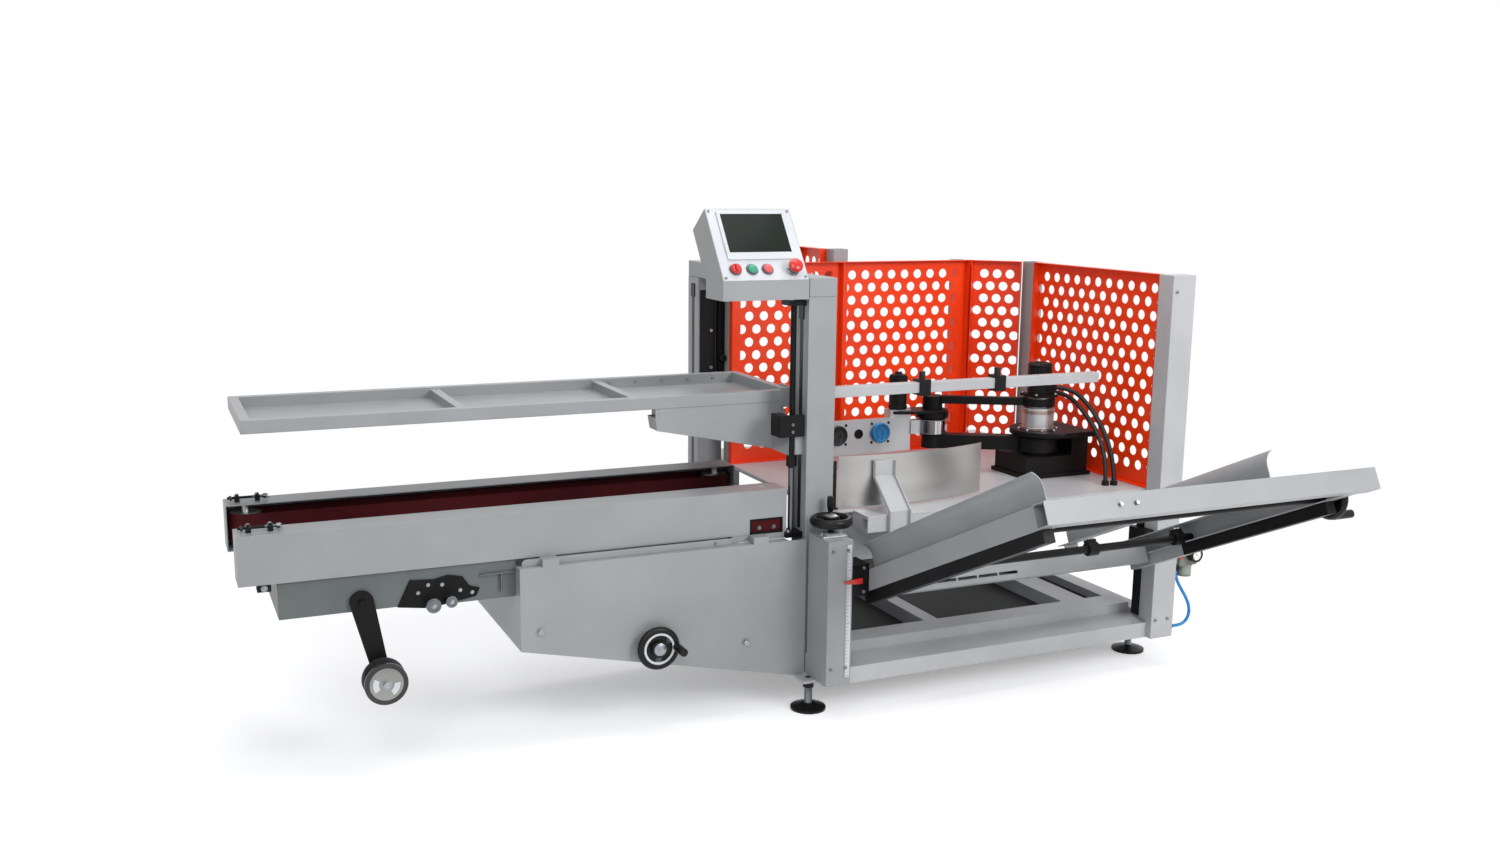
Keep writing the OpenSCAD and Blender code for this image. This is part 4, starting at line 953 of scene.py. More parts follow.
@dataclass
class Posts:
    """Small parts on the base, the left post and the right column.

    Attributes:
        screw: Width of the cover screws' heads.
        post_screws: Places of the left post's screws across and up.
        column_screws: Places of the right column's screws across and up.
        sunk: How far the left post's screws sit in its front.
        ruler: Left and right edge of the ruler strip, from the post's left edge.
        ruler_ends: Lower and upper end of the ruler strip.
        tick_count: Number of the ruler's ticks.
        tick_start: Height of the lowest tick.
        tick_gap: Distance from tick to tick.
        tick_length: Length of a short and of a long tick.
        stem: Lower end and length of the levelling feet's thread.
        stem_thread: Root radius, crest radius and pitch of that thread.
        bearing: Middle across, half width, half depth, underside and top of the height screw's bearing plate.
        bearing_bolts: Distance of the plate's bolts from its middle, and their width.
        apron: Right end, place in depth and lower edge of the sheet under the deck's notch.
        stop: Left front corner of the stop at the curved guide's left end.
        stop_size: Width, depth and height of the stop.
        stop_flange: How far the stop's foot stands out sideways and front to back, and its thickness.
        stop_pins: Heights of the stop's pins above the deck.
        stop_pin: Length and radius of those pins.
    """

    screw: float = 9.0
    post_screws: Spots = ((19, 476), (64, 476), (19, 142), (64, 142))
    column_screws: Spots = ((1126, 151), (1172, 151), (1126, 470), (1126, 1150))
    sunk: float = 0.8
    ruler: Spot = (58.0, 71.0)
    ruler_ends: Spot = (114.0, 490.0)
    tick_count: int = 37
    tick_start: float = 118.0
    tick_gap: float = 10.0
    tick_length: Spot = (5.0, 9.0)
    stem: Spot = (17.0, 46.0)
    stem_thread: Point = (10.0, 11.4, 3.5)
    bearing: tuple[float, float, float, float, float] = (42.5, 37.0, 27.0, 503.0, 509.0)
    bearing_bolts: Spot = (29.0, 10.0)
    apron: Point = (330.0, 44.0, 400.0)
    stop: Spot = (94.0, 62.0)
    stop_size: Point = (14.0, 12.0, 138.0)
    stop_flange: Point = (4.0, 5.0, 5.0)
    stop_pins: Spot = (118.0, 96.0)
    stop_pin: Spot = (6.0, 5.0)

    def build(self) -> None:
        """Adds the threads, ruler, screws, bearing plate, the sheet under the deck and the guide's stop."""
        self._feet()
        self._ruler()
        self._screws()
        self._apron()
        self._stop()

    def _feet(self) -> None:
        """Adds the thread on each levelling foot's stem."""
        stems = Shape()
        base, length = self.stem
        for mount in frame["record"]["mounts"]:
            x, y, _ = (1000 * v for v in mount["pos_m"])
            stems.thread((x, y, base), UP, length, *self.stem_thread)
        stems.piece("foot_threads", ZINC)

    def _ruler(self) -> None:
        """Adds the white ruler strip with its ticks, every fifth one long."""
        post, _ = corners("left_post")
        left, right = (post.x + edge for edge in self.ruler)
        bottom, top = self.ruler_ends
        Shape().box((left, post.y - 0.5, bottom), (right, post.y, top)).piece("ruler_strip", PANEL_WHITE)
        short, long = self.tick_length
        ticks = Shape()
        for i in range(self.tick_count):
            length = long if i % 5 == 0 else short
            z = self.tick_start + i * self.tick_gap
            ticks.box((left + 1, post.y - 0.7, z), (left + 1 + length, post.y - 0.4, z + 1))
        ticks.piece("ruler_ticks", SHADE_AND_PRINT_DARK)

    def _screws(self) -> None:
        """Adds the screws on the post's and the column's fronts and the height screw's bearing plate."""
        heads = Shape()
        fronts = (("left_post", self.post_screws, self.sunk), ("right_column", self.column_screws, 0))
        for node, places, sunk in fronts:
            for x, z in places:
                heads.cap_screw((x, corners(node)[0].y + sunk, z), FRONT, self.screw)
        low, high = corners("height_wheel")
        x, wide, deep, bottom, top = self.bearing
        y = (low.y + high.y) / 2
        out, across = self.bearing_bolts
        for side in (-out, out):
            heads.hex_bolt((x + side, y, top), UP, across)
        heads.piece("post_screws", ZINC)
        plate = Shape().box((x - wide, y - deep, bottom), (x + wide, y + deep, top))
        plate.piece("height_bearing_plate", ALUMINIUM, edge=1.5)

    def _apron(self) -> None:
        """Adds the sheet under the deck's notch."""
        deck, _ = corners("deck")
        right, y, bottom = self.apron
        sheet = Shape().box((deck.x + 1, y, bottom), (right, y + 2, deck.z))
        sheet.piece("deck_apron", POWDER_GREY, edge=0.4)

    def _stop(self) -> None:
        """Adds the stop at the curved guide's left end, with its foot and pins."""
        (x, y), z = self.stop, corners("deck")[1].z
        wide, deep, tall = self.stop_size
        out, ahead, thick = self.stop_flange
        length, radius = self.stop_pin
        stop = Shape().box((x, y, z), (x + wide, y + deep, z + tall))
        stop.box((x - out, y - ahead, z), (x + wide + out, y + deep + ahead, z + thick))
        middle = x + wide / 2
        for pin in self.stop_pins:
            stop.rod((middle, y, z + pin), (middle, y - length, z + pin), radius)
        stop.piece("guide_end_stop", BLACK_NYLON, edge=0.8)


@dataclass
class Guards:
    """Painted fronts of the posts that show through the guards' holes.

    Attributes:
        posts: Left and right edge of each post behind the back guards.
        side: Depth of the inner posts' red sides.
    """

    posts: Spots = ((84, 124), (457, 511), (932, 972))
    side: float = 39.0

    def build(self) -> None:
        """Adds a red front to each post, flush in the guards' holes, and a red side to the inner ones."""
        low, high = corners("back_guard_right")
        bottom, back, top = low.z + 1, high.y, high.z - 1
        fronts = Shape()
        for i, (left, right) in enumerate(self.posts):
            fronts.box((left + 0.5, back - 0.7, bottom), (right - 0.5, back + 0.6, top))
            if i > 0:
                fronts.box((left - 0.6, back + 0.2, bottom), (left + 0.5, back + self.side, top))
        fronts.piece("guard_post_fronts", GUARD_RED)


@dataclass
class Portal:
    """Small parts of the portal and the tray's lift.

    Attributes:
        slot: Width of the guide slots.
        slot_inset: Distance of a slot's middle from the columns' outer faces.
        strip: Lower and upper end of the guide strips.
        strip_head: Lower end of the wider blocks at the strips' tops.
        screw: Axis of the lift screw across and back.
        thread: Lower end, length, root radius, crest radius and pitch of the lift screw's thread.
        shank: Lower end, length, inner and outer radius of the sleeve on the screw's plain part.
        bearings: Top faces of the screw's lower and upper bearing.
        bearing_bolts: Distance of the bearings' bolts from the screw to the left and to both sides.
        bolt: Width of those bolts.
        carriage: Lowest and highest corner of the black carriage's front plate.
        cheek: Right face and back of the carriage's side plate.
        nut: Lower and upper end, inner and outer radius of the lift nut's sleeve.
        nut_bar: Left front and right back corner of the bar from the nut to the carriage.
        carriage_screws: Place across, heights and width of the carriage's screws.
        slide_plate: Lowest and highest corner of the plate on the rear column.
        slide_bar: Lowest and highest corner of the bar beside it.
        slide_knob: Start, end and radius of the knob on the bar.
        slide_screws: Place across, heights and width of the slide plate's screws.
    """

    slot: float = 22.0
    slot_inset: float = 42.0
    strip: Spot = (505.0, 1129.0)
    strip_head: float = 1088.0
    screw: Spot = (-25.0, 80.0)
    thread: tuple[float, float, float, float, float] = (690.0, 436.0, 8.0, 8.25, 4.0)
    shank: Quad = (498.0, 192.0, 7.9, 8.25)
    bearings: Spot = (498.0, 1141.0)
    bearing_bolts: Spot = (16.0, 17.0)
    bolt: float = 10.0
    carriage: tuple[Point, Point] = ((-78, 46, 769), (-4, 57, 829))
    cheek: Spot = (-48.0, 104.0)
    nut: Quad = (682.0, 717.0, 8.6, 15.0)
    nut_bar: tuple[Spot, Spot] = ((-44, 50), (-30, 62))
    carriage_screws: tuple[float, Spot, float] = (-40.0, (784.0, 804.0), 9.0)
    slide_plate: tuple[Point, Point] = ((6, 822, 838), (58, 828, 1111))
    slide_bar: tuple[Point, Point] = ((62, 804, 846), (83, 828, 1084))
    slide_knob: tuple[Point, Point, float] = ((72, 804, 893), (72, 786, 893), 11.0)
    slide_screws: tuple[float, Point, float] = (42.0, (861.0, 981.0, 1098.0), 11.0)

    def build(self) -> None:
        """Adds slot strips, the lift's thread, the carriage, the rear slide and the beam's end cap."""
        self._strips()
        self._lift()
        self._carriage()
        self._rear_slide()
        low, high = corners("portal_beam")
        cap = Shape().box((low.x + 0.5, low.y - 2, low.z + 0.5), (high.x - 0.5, low.y + 1, high.z - 0.5))
        cap.piece("beam_end_cap", POWDER_GREY, edge=0.8)

    def _strips(self) -> None:
        """Adds the black guide strips in both columns' slots."""
        low, high = corners("portal_columns")
        half, inner = (self.slot - 1) / 2, low.x + 4.6
        bottom, top = self.strip
        strips = Shape()
        for y in (low.y + self.slot_inset, high.y - self.slot_inset):
            strips.box((low.x + 0.6, y - half, bottom), (inner, y + half, top))
            strips.box((low.x - 3, y - half - 4, self.strip_head), (inner, y + half + 4, top))
        strips.piece("column_slot_strips", BLACK_NYLON, edge=0.6)

    def _lift(self) -> None:
        """Adds the screw's thread and shank and the bolts of its bearings."""
        x, y = self.screw
        start, *sizes = self.thread
        Shape().thread((x, y, start), UP, *sizes).piece("lift_screw_thread", BLACK_STEEL)
        start, *sizes = self.shank
        Shape().tube((x, y, start), UP, *sizes).piece("lift_screw_shank", SATIN_STEEL)
        bolts = Shape()
        left, out = self.bearing_bolts
        for side in (-out, out):
            for z in self.bearings:
                bolts.hex_bolt((x - left, y + side, z), UP, self.bolt)
        bolts.piece("lift_bearing_bolts", ZINC)

    def _carriage(self) -> None:
        """Adds the carriage and the nut, which ride with the tray."""
        low, high = self.carriage
        right, back = self.cheek
        bottom, top, inner, outer = self.nut
        near, far = self.nut_bar
        block = Shape().box(low, high).box((low[0], high[1], low[2]), (right, back, high[2]))
        block.tube((*self.screw, bottom), UP, top - bottom, inner, outer)
        block.box((*near, bottom), (*far, low[2]))
        block.piece("tray_carriage", BLACK_STEEL, Body.TRAY, edge=1.2)
        screws = Shape().screw_column(self.carriage_screws, low[1])
        screws.piece("tray_carriage_screws", ZINC, Body.TRAY)

    def _rear_slide(self) -> None:
        """Adds the slide plate and its bar on the rear column's front."""
        plate = Shape().box(*self.slide_plate).box(*self.slide_bar).rod(*self.slide_knob)
        plate.piece("rear_slide", BLACK_STEEL, edge=1.2)
        screws = Shape().screw_column(self.slide_screws, self.slide_plate[0][1])
        screws.piece("rear_slide_screws", ZINC)


@dataclass
class Outfeed:
    """Small parts of the belts, covers and side box.

    Attributes:
        boss: Height of the lane wheel's boss on the side box's front.
        shelf: Top of the side box, which the covers' strip stands on.
        strip: Ends along X of the upright strip under the front cover.
        strip_size: Height, thickness and corner radius of the strip, and its distance behind the box's front.
        strip_screw: Distance from the strip's right end, height and width of its screw.
        lip_end: Right end of the side box's lip and of the cover's rest bar.
        lip: Depth and thickness of the lip.
        carriers: Left edges of the belt carriers' tubes.
        carrier_size: Width and height of the caps on those tubes.
        box_bolts: Places of the side box's bolts along X and up.
        box_bolt: Width of those bolts.
        bracket: Left and right face, bottom and top of the bracket at the cover's outer end.
        bracket_depth: Depth of that bracket.
        bracket_bolt: Width of the bolt on it.
        notch: Width and height of the front cover's notch.
        notch_inset: Distance of the notch from the cover's right end.
        notch_depth: Distance of the notch's back plate behind the cover's front.
        notch_rim: Width of the rim at the notch's left, its right, and its top and bottom.
        notch_bolts: Shares of the notch's width at which its bolts stand.
        notch_bolt: Height of those bolts above the cover's lower edge, and their width.
        rest_bar: Gap to the strip's right end, and depth of the rest bar.
        belt_middle: Distance of a tensioner's middle from its cover's front.
        tension_thread: Length, root radius, crest radius and pitch of the tensioners' thread.
        wing_nut: Distance of the wing nut from the tensioners' left end, and its height above their foot.
        wing: Outline of one wing of the nut.
        blocks: Left edges of the tensioners' blocks.
        block: Width, half depth and height of a block.
    """

    boss: float = 10.0
    shelf: float = 483.0
    strip: Spot = (-800.0, -215.0)
    strip_size: Quad = (18.0, 3.0, 12.0, 23.0)
    strip_screw: Point = (50.0, 492.0, 8.0)
    lip_end: float = -52.0
    lip: Spot = (34.0, 3.0)
    carriers: Spot = (-751.0, -160.0)
    carrier_size: Spot = (44.0, 18.6)
    box_bolts: Spots = ((-759, 312), (-181, 208))
    box_bolt: float = 15.0
    bracket: Quad = (42.0, 74.0, 484.0, 502.0)
    bracket_depth: float = 32.0
    bracket_bolt: float = 11.0
    notch: Spot = (100.0, 43.0)
    notch_inset: float = 11.0
    notch_depth: float = 6.0
    notch_rim: Point = (6.0, 4.0, 5.0)
    notch_bolts: Spot = (0.3, 0.74)
    notch_bolt: Spot = (16.0, 9.0)
    rest_bar: Spot = (4.0, 24.0)
    belt_middle: float = 44.0
    tension_thread: Quad = (28.0, 3.5, 4.2, 1.6)
    wing_nut: Spot = (92.0, 10.0)
    wing: Spots = ((0, 3), (9, 5), (13, 16), (5, 18), (-1, 8))
    blocks: Spot = (18.0, 68.0)
    block: Point = (12.0, 13.0, 15.0)

    def build(self) -> None:
        """Adds the strip, lip, caps, bolts, bracket, notch plate and tensioner hardware."""
        face = corners("side_box")[0].y + self.boss
        self._strip(face)
        self._bolts(face)
        self._notch()
        self._tensioners()

    def _strip(self, face: float) -> None:
        """Adds the upright strip, the box's lip and the caps on the carriers' tubes.

        Args:
            face: Y of the side box's front.
        """
        left, right = self.strip
        tall, thick, radius, back = self.strip_size
        corner = [(radius + x, tall - radius + y) for x, y in arc(radius, 90, 15, 7)]
        outline = [(0, 0), (right - left, 0), (right - left, tall), *corner]
        plate = Shape().prism(outline, (left, face + back, self.shelf), RIGHT, UP, thick)
        plate.piece("cover_side_strip", POWDER_GREY, edge=0.6)
        deep, thick = self.lip
        top = self.shelf - 0.2
        start = corners("side_box")[0].x + 2
        lip = Shape().box((start, face + 1.5, top - thick), (self.lip_end, face + deep, top))
        lip.piece("side_box_lip", POWDER_GREY, edge=0.5)
        wide, tall = self.carrier_size
        bottom = self.shelf + 0.2
        caps = Shape()
        for x in self.carriers:
            caps.box((x, face - 1.2, bottom), (x + wide, face + 0.2, bottom + tall))
        caps.piece("carrier_end_caps", POWDER_GREY)

    def _bolts(self, face: float) -> None:
        """Adds the bolts of the side box and the strip, and the bracket at the cover's outer end.

        Args:
            face: Y of the side box's front.
        """
        bolts = Shape()
        for x, z in self.box_bolts:
            bolts.hex_bolt((x, face, z), FRONT, self.box_bolt)
        inset, z, across = self.strip_screw
        bolts.cap_screw((self.strip[1] - inset, face + 20, z), FRONT, across)
        cover, _ = corners("front_cover")
        left, right, bottom, top = self.bracket
        front = cover.y + 2
        middle = (left + right) / 2
        bolts.hex_bolt((cover.x + middle, front, (bottom + top) / 2), FRONT, self.bracket_bolt)
        bolts.piece("side_box_bolts", ZINC)
        back = front + self.bracket_depth
        foot = Shape().box((cover.x + left, front, bottom), (cover.x + right, back, top))
        foot.piece("cover_end_bracket", BLACK_STEEL, edge=1.0)

    def _notch(self) -> None:
        """Adds the back plate, rim and bolts in the front cover's notch, and the bar under the cover."""
        low, high = corners("front_cover")
        wide, tall = self.notch
        right = high.x - self.notch_inset
        left, base, top = right - wide, low.z, low.z + tall
        front, back = low.y + 0.8, low.y + self.notch_depth
        plate = Shape().box((left - 3, back, base - 1), (right + 3, back + 2, top + 3))
        plate.piece("cover_notch_back", BELT)
        near, far, level = self.notch_rim
        bars = (
            ((left, top - level), (right, top - 0.4)),
            ((left, base), (left + near, top - level)),
            ((right - far, base), (right, top - level)),
            ((left, base - 0.5), (right, base + level)),
        )
        rim = Shape()
        for (x0, z0), (x1, z1) in bars:
            rim.box((x0, front, z0), (x1, back, z1))
        rim.piece("cover_notch_rim", BLACK_STEEL)
        rise, across = self.notch_bolt
        heads = Shape()
        for share in self.notch_bolts:
            heads.hex_bolt((left + share * wide, back, base + rise), FRONT, across)
        heads.piece("cover_notch_bolts", SATIN_STEEL)
        gap, deep = self.rest_bar
        front, start = low.y + 2, self.strip[1] + gap
        bar = Shape().box((start, front, self.shelf + 0.2), (self.lip_end, front + deep, base - 0.3))
        bar.piece("cover_rest_bar", POWDER_GREY, edge=0.6)

    def _tensioners(self) -> None:
        """Adds wing nuts, bolts, thread and blocks on the belts' tensioners."""
        low, _ = corners("belt_tensioners")
        x, z = low.x + self.wing_nut[0], low.z + self.wing_nut[1]
        wide, half, tall = self.block
        nuts, blocks = Shape(), Shape()
        for cover in ("front_cover", "rear_cover"):
            y = corners(cover)[0].y + self.belt_middle
            nuts.thread((x - 30, y, z), RIGHT, *self.tension_thread)
            nuts.rod((x - 4, y, z), (x + 6, y, z), 6.5)
            for side in (-1, 1):
                wing = [(along, side * out) for along, out in self.wing]
                nuts.prism(wing[::side], (x - 2, y, z - 1.5), RIGHT, BACK, 3.0)
            for start in self.blocks:
                left = low.x + start
                blocks.box((left, y - half, low.z), (left + wide, y + half, low.z + tall))
                nuts.hex_bolt((left + wide / 2, y, low.z + tall), UP, 8)
        nuts.piece("tension_wing_nuts", ZINC)
        blocks.piece("tension_blocks", BLACK_NYLON, edge=1.0)


@dataclass
class TapeHead:
    """Small parts of the tape head and its reel.

    Attributes:
        rollers: Centre along X, height and radius of the press rollers.
        roller_length: Length of the rollers' sleeves.
        plate: Outline of the black plate across and up.
        plate_inset: Distance of the plate from the head's back.
        plate_thick: Thickness of the plate.
        plate_bolts: Places of the plate's bolts across and up.
        bolts: Width of the rollers' and of the plate's bolts.
        arm_bolt: Place across from the arm's left edge, height and width of the arm's bolt.
        arm_front: Distance of that bolt from the head's back.
        fold_top: Upper edge of the head's fold.
        ledge: Left end, bottom and top of the level ledge on the fold.
        stay: Left face, right face and bottom of the upright stay on the fold.
        ledge_depth: Depth of ledge and stay.
        disc: Outline of the reel's metal disc as radius and distance out.
        window: Inner and outer radius of the disc's windows.
        window_turns: Angle in degrees at which each window starts.
        nut: Width of the nut on the reel's pin.
    """

    rollers: tuple[Point, ...] = ((-1027, 410, 18), (-982, 415, 14))
    roller_length: float = 31.0
    plate: Spots = (
        (-1111, 408), (-1040, 398), (-1000, 402), (-960, 408), (-915, 416), (-905, 436), (-930, 444),
        (-948, 470), (-985, 478), (-1020, 470), (-1079, 474),
    )
    plate_inset: float = 6.0
    plate_thick: float = 5.0
    plate_bolts: Spots = ((-1060, 440), (-1035, 458), (-1000, 455), (-955, 436), (-925, 427))
    bolts: Spot = (9.0, 7.0)
    arm_bolt: Point = (29.0, 432.0, 14.0)
    arm_front: float = 18.0
    fold_top: float = 501.8
    ledge: Point = (-905.0, 468.0, 471.0)
    stay: Point = (-852.0, -849.0, 420.0)
    ledge_depth: float = 10.0
    disc: Spots = ((10.6, 0), (41, 0), (41, 1.2), (36, 2.0), (15, 2.0), (10.6, 3.0), (10.6, 0))
    window: Spot = (19.0, 33.0)
    window_turns: Spot = (150.0, 300.0)
    nut: float = 17.0

    def build(self) -> None:
        """Adds roller sleeves, the black plate, bolts, the fold and the reel's disc."""
        low, high = corners("tape_head")
        roller_bolt, plate_bolt = self.bolts
        face = low.y + 1
        rollers, hubs = Shape(), Shape()
        for x, z, radius in self.rollers:
            rollers.rod((x, face + self.roller_length, z), (x, face, z), radius + 0.8, 32)
            rollers.tube((x, face + 0.4, z), FRONT, 3, radius - 6, radius - 3)
            hubs.hex_bolt((x, face, z), FRONT, roller_bolt)
        rollers.piece("tape_rollers", SATIN_STEEL)
        front = high.y - self.plate_inset
        plate = Shape().prism(self.plate, (0, front, 0), RIGHT, UP, self.plate_thick)
        plate.piece("tape_head_plate", BLACK_STEEL, edge=0.6)
        for x, z in self.plate_bolts:
            hubs.hex_bolt((x, front - self.plate_thick, z), FRONT, plate_bolt)
        hubs.piece("tape_head_bolts", ZINC)
        across, z, wide = self.arm_bolt
        x = corners("tape_arm")[0].x + across
        Shape().hex_bolt((x, high.y - self.arm_front, z), FRONT, wide).piece("tape_arm_bolt", BLACK_STEEL)
        left, under, over = self.ledge
        near, far, foot = self.stay
        out = front - self.ledge_depth
        fold = Shape().box((low.x, front, high.z), (high.x, high.y, self.fold_top))
        fold.box((left, out, under), (high.x - 2, front, over)).box((near, out, foot), (far, front, under))
        fold.piece("tape_head_fold", ENAMEL_OLIVE, edge=0.4)
        self._reel()

    def _reel(self) -> None:
        """Adds the reel's disc with its windows, and the nut on its pin."""
        low, high = corners("tape_reel")
        x, z, face = (low.x + high.x) / 2, (low.z + high.z) / 2, low.y
        Shape().lathe(self.disc, (x, face, z), FRONT, 48).piece("reel_disc", REEL_SILVER, Body.TAPE_REEL)
        windows = Shape()
        inner, outer = self.window
        for start in self.window_turns:
            ring = arc(outer, start, 8, 9) + arc(inner, start, 8, 9)[::-1]
            windows.prism(ring, (x, face - 1.6, z), RIGHT, UP, 0.8)
        windows.piece("reel_windows", PANEL_WHITE, Body.TAPE_REEL)
        pin = corners("tape_arm")[0].y + 2
        Shape().hex_bolt((x, pin, z), FRONT, self.nut).piece("reel_pin_nut", ZINC)


@dataclass
class TopTray:
    """Small parts of the top tray.

    Attributes:
        bolts: Number of bolts inside the back rim of the tray's right bay.
        bolt_start: Distance of the first bolt from the tray's right end.
        bolt_gap: Distance between those bolts.
        bolt_drop: Distance of the bolts below the tray's top.
        bolt: Width of the bolts.
        rim: Width of the tray's rim.
        fold: Lower edge of the bracket's top fold.
        end: Left edge, bottom and top of the plate at the tray's right end.
        end_thick: Thickness of that plate.
        end_depth: Depth of its return along the tray's end.
    """

    bolts: int = 5
    bolt_start: float = 90.0
    bolt_gap: float = 82.0
    bolt_drop: float = 13.0
    bolt: float = 8.0
    rim: float = 25.0
    fold: float = 823.0
    end: Point = (-24.0, 834.0, 888.0)
    end_thick: float = 4.0
    end_depth: float = 90.0

    def build(self) -> None:
        """Adds the bolts inside the back rim, the bracket's top fold and the end plate."""
        low, high = corners("top_tray")
        heads = Shape()
        for i in range(self.bolts):
            x = high.x - self.bolt_start - i * self.bolt_gap
            heads.cap_screw((x, high.y - self.rim, high.z - self.bolt_drop), FRONT, self.bolt)
        heads.piece("tray_bolts", ZINC, Body.TRAY)
        left, bottom, top = self.end
        start = corners("tray_bracket")[0].x + 2
        fold = Shape().box((start, low.y + 1, self.fold), (left, low.y + 5, low.z))
        fold.piece("bracket_top_fold", POWDER_GREY, Body.TRAY, edge=0.6)
        right, thick = high.x - 1, self.end_thick
        end = Shape().box((left, low.y - thick, bottom), (right, low.y, top))
        end.box((right - thick, low.y, bottom), (right, low.y + self.end_depth, top))
        end.piece("tray_end_plate", POWDER_GREY, Body.TRAY, edge=0.8)


@dataclass
class OperatorPanel:
    """Face, bezel and buttons of the operator panel.

    Attributes:
        corner: Lower left corner of the sloping face.
        tilt: Lean of the face back from upright in degrees.
        face: Width and height of the face.
        margin: Distance of the white face from the housing's edges.
        bezel: Left, lower, right and upper edge of the screen's frame.
        bezel_top: Height of that frame over the face.
        screen: Left, lower, right and upper edge of the screen.
        screw_inset: Distance of the corner screws from the face's edges.
        screw: Width of those screws.
        row: Height of the push buttons' row up the face.
        push: Places of selector, green and red button across the face.
        stop: Place of the stop button.
        ring: Outline of a push button's ring as radius and distance out.
        collar: Outline of the stop button's collar.
        knob: Outline of the selector's knob.
        lever: Half width, half length, underside and top of the selector's lever.
        cap: Outline of a push button's cap.
        dome: Outline of the stop button's dome.
    """

    corner: Point = (-255.0, 30.0, 1198.0)
    tilt: float = 35.86
    face: Spot = (250.0, 227.0)
    margin: float = 1.5
    bezel: Quad = (28.4, 64.4, 225.6, 217.6)
    bezel_top: float = 5.0
    screen: Quad = (38.0, 86.0, 220.0, 208.0)
    screw_inset: float = 9.0
    screw: float = 7.0
    row: float = 34.0
    push: Point = (42.0, 90.0, 135.0)
    stop: Spot = (208.0, 30.0)
    ring: Spots = ((12, 0.5), (17, 0.5), (17, 3), (15.5, 5), (13.2, 5), (13.2, 0.5))
    collar: Spots = ((0, 0.5), (17, 0.5), (17, 3), (14, 5), (13, 6), (13, 20), (0, 20))
    knob: Spots = ((0, 1), (15, 5), (15, 10), (13, 13), (0, 13))
    lever: Quad = (3.0, 10.0, 11.0, 17.0)
    cap: Spots = ((0, 1), (13, 1), (13, 8), (11.6, 10), (6, 10.8), (0, 11))
    dome: Spots = ((0, 19), (13, 19), (19, 21), (20, 25), (19, 31), (15, 34.5), (8, 36), (0, 36.4))

    def _shape(self) -> Shape:
        """Starts a shape in the frame of the face: X across, Y up it, Z out of it."""
        lean = Matrix.Rotation(math.radians(90 - self.tilt), 4, "X")
        return Shape(Matrix.Translation(self.corner) @ lean)

    def build(self) -> None:
        """Adds the white face, the bezel and the buttons."""
        w, h = self.face
        edge = self.margin
        plate = self._shape().box((edge, edge, -0.5), (w - edge, h - edge, 0.8))
        plate.piece("panel_face", PANEL_WHITE, edge=0.5)
        self._bezel()
        self._buttons()

    def _bezel(self) -> None:
        """Adds the white frame round the screen, and the face's corner screws."""
        left, low, right, high = self.bezel
        near, under, far, over = self.screen
        bars = (
            ((left, low), (right, under)),
            ((left, over), (right, high)),
            ((left, under), (near, over)),
            ((far, under), (right, over)),
        )
        rim = self._shape()
        for start, end in bars:
            rim.box((*start, 0.5), (*end, self.bezel_top))
        rim.piece("panel_bezel", PANEL_WHITE, edge=0.4)
        screws = self._shape()
        inset = self.screw_inset
        for x in (inset, self.face[0] - inset):
            for y in (inset, self.face[1] - inset):
                screws.cap_screw((x, y, 0.8), UP, self.screw)
        screws.piece("panel_screws", ZINC)

    def _buttons(self) -> None:
        """Adds selector, push buttons and stop button."""
        selector, start, halt = ((x, self.row, 0) for x in self.push)
        stop = (*self.stop, 0)
        rings = self._shape()
        for centre in (selector, start, halt):
            rings.lathe(self.ring, centre, UP, 40)
        rings.lathe(self.collar, stop, UP, 40)
        rings.piece("button_rings", SATIN_STEEL)
        wide, long, under, top = self.lever
        x, y, _ = selector
        knob = self._shape().lathe(self.knob, selector, UP, 24)
        knob.box((x - wide, y - long, under), (x + wide, y + long, top))
        knob.piece("selector_knob", ACRYLIC_RED, edge=0.8)
        self._shape().lathe(self.cap, start, UP, 32).piece("start_button", ACRYLIC_GREEN)
        self._shape().lathe(self.cap, halt, UP, 32).piece("halt_button", ACRYLIC_ROSE)
        dome = self._shape().lathe(self.dome, stop, UP, 40)
        dome.piece("stop_button", ACRYLIC_RED, stands_for=("hmi_buttons",))


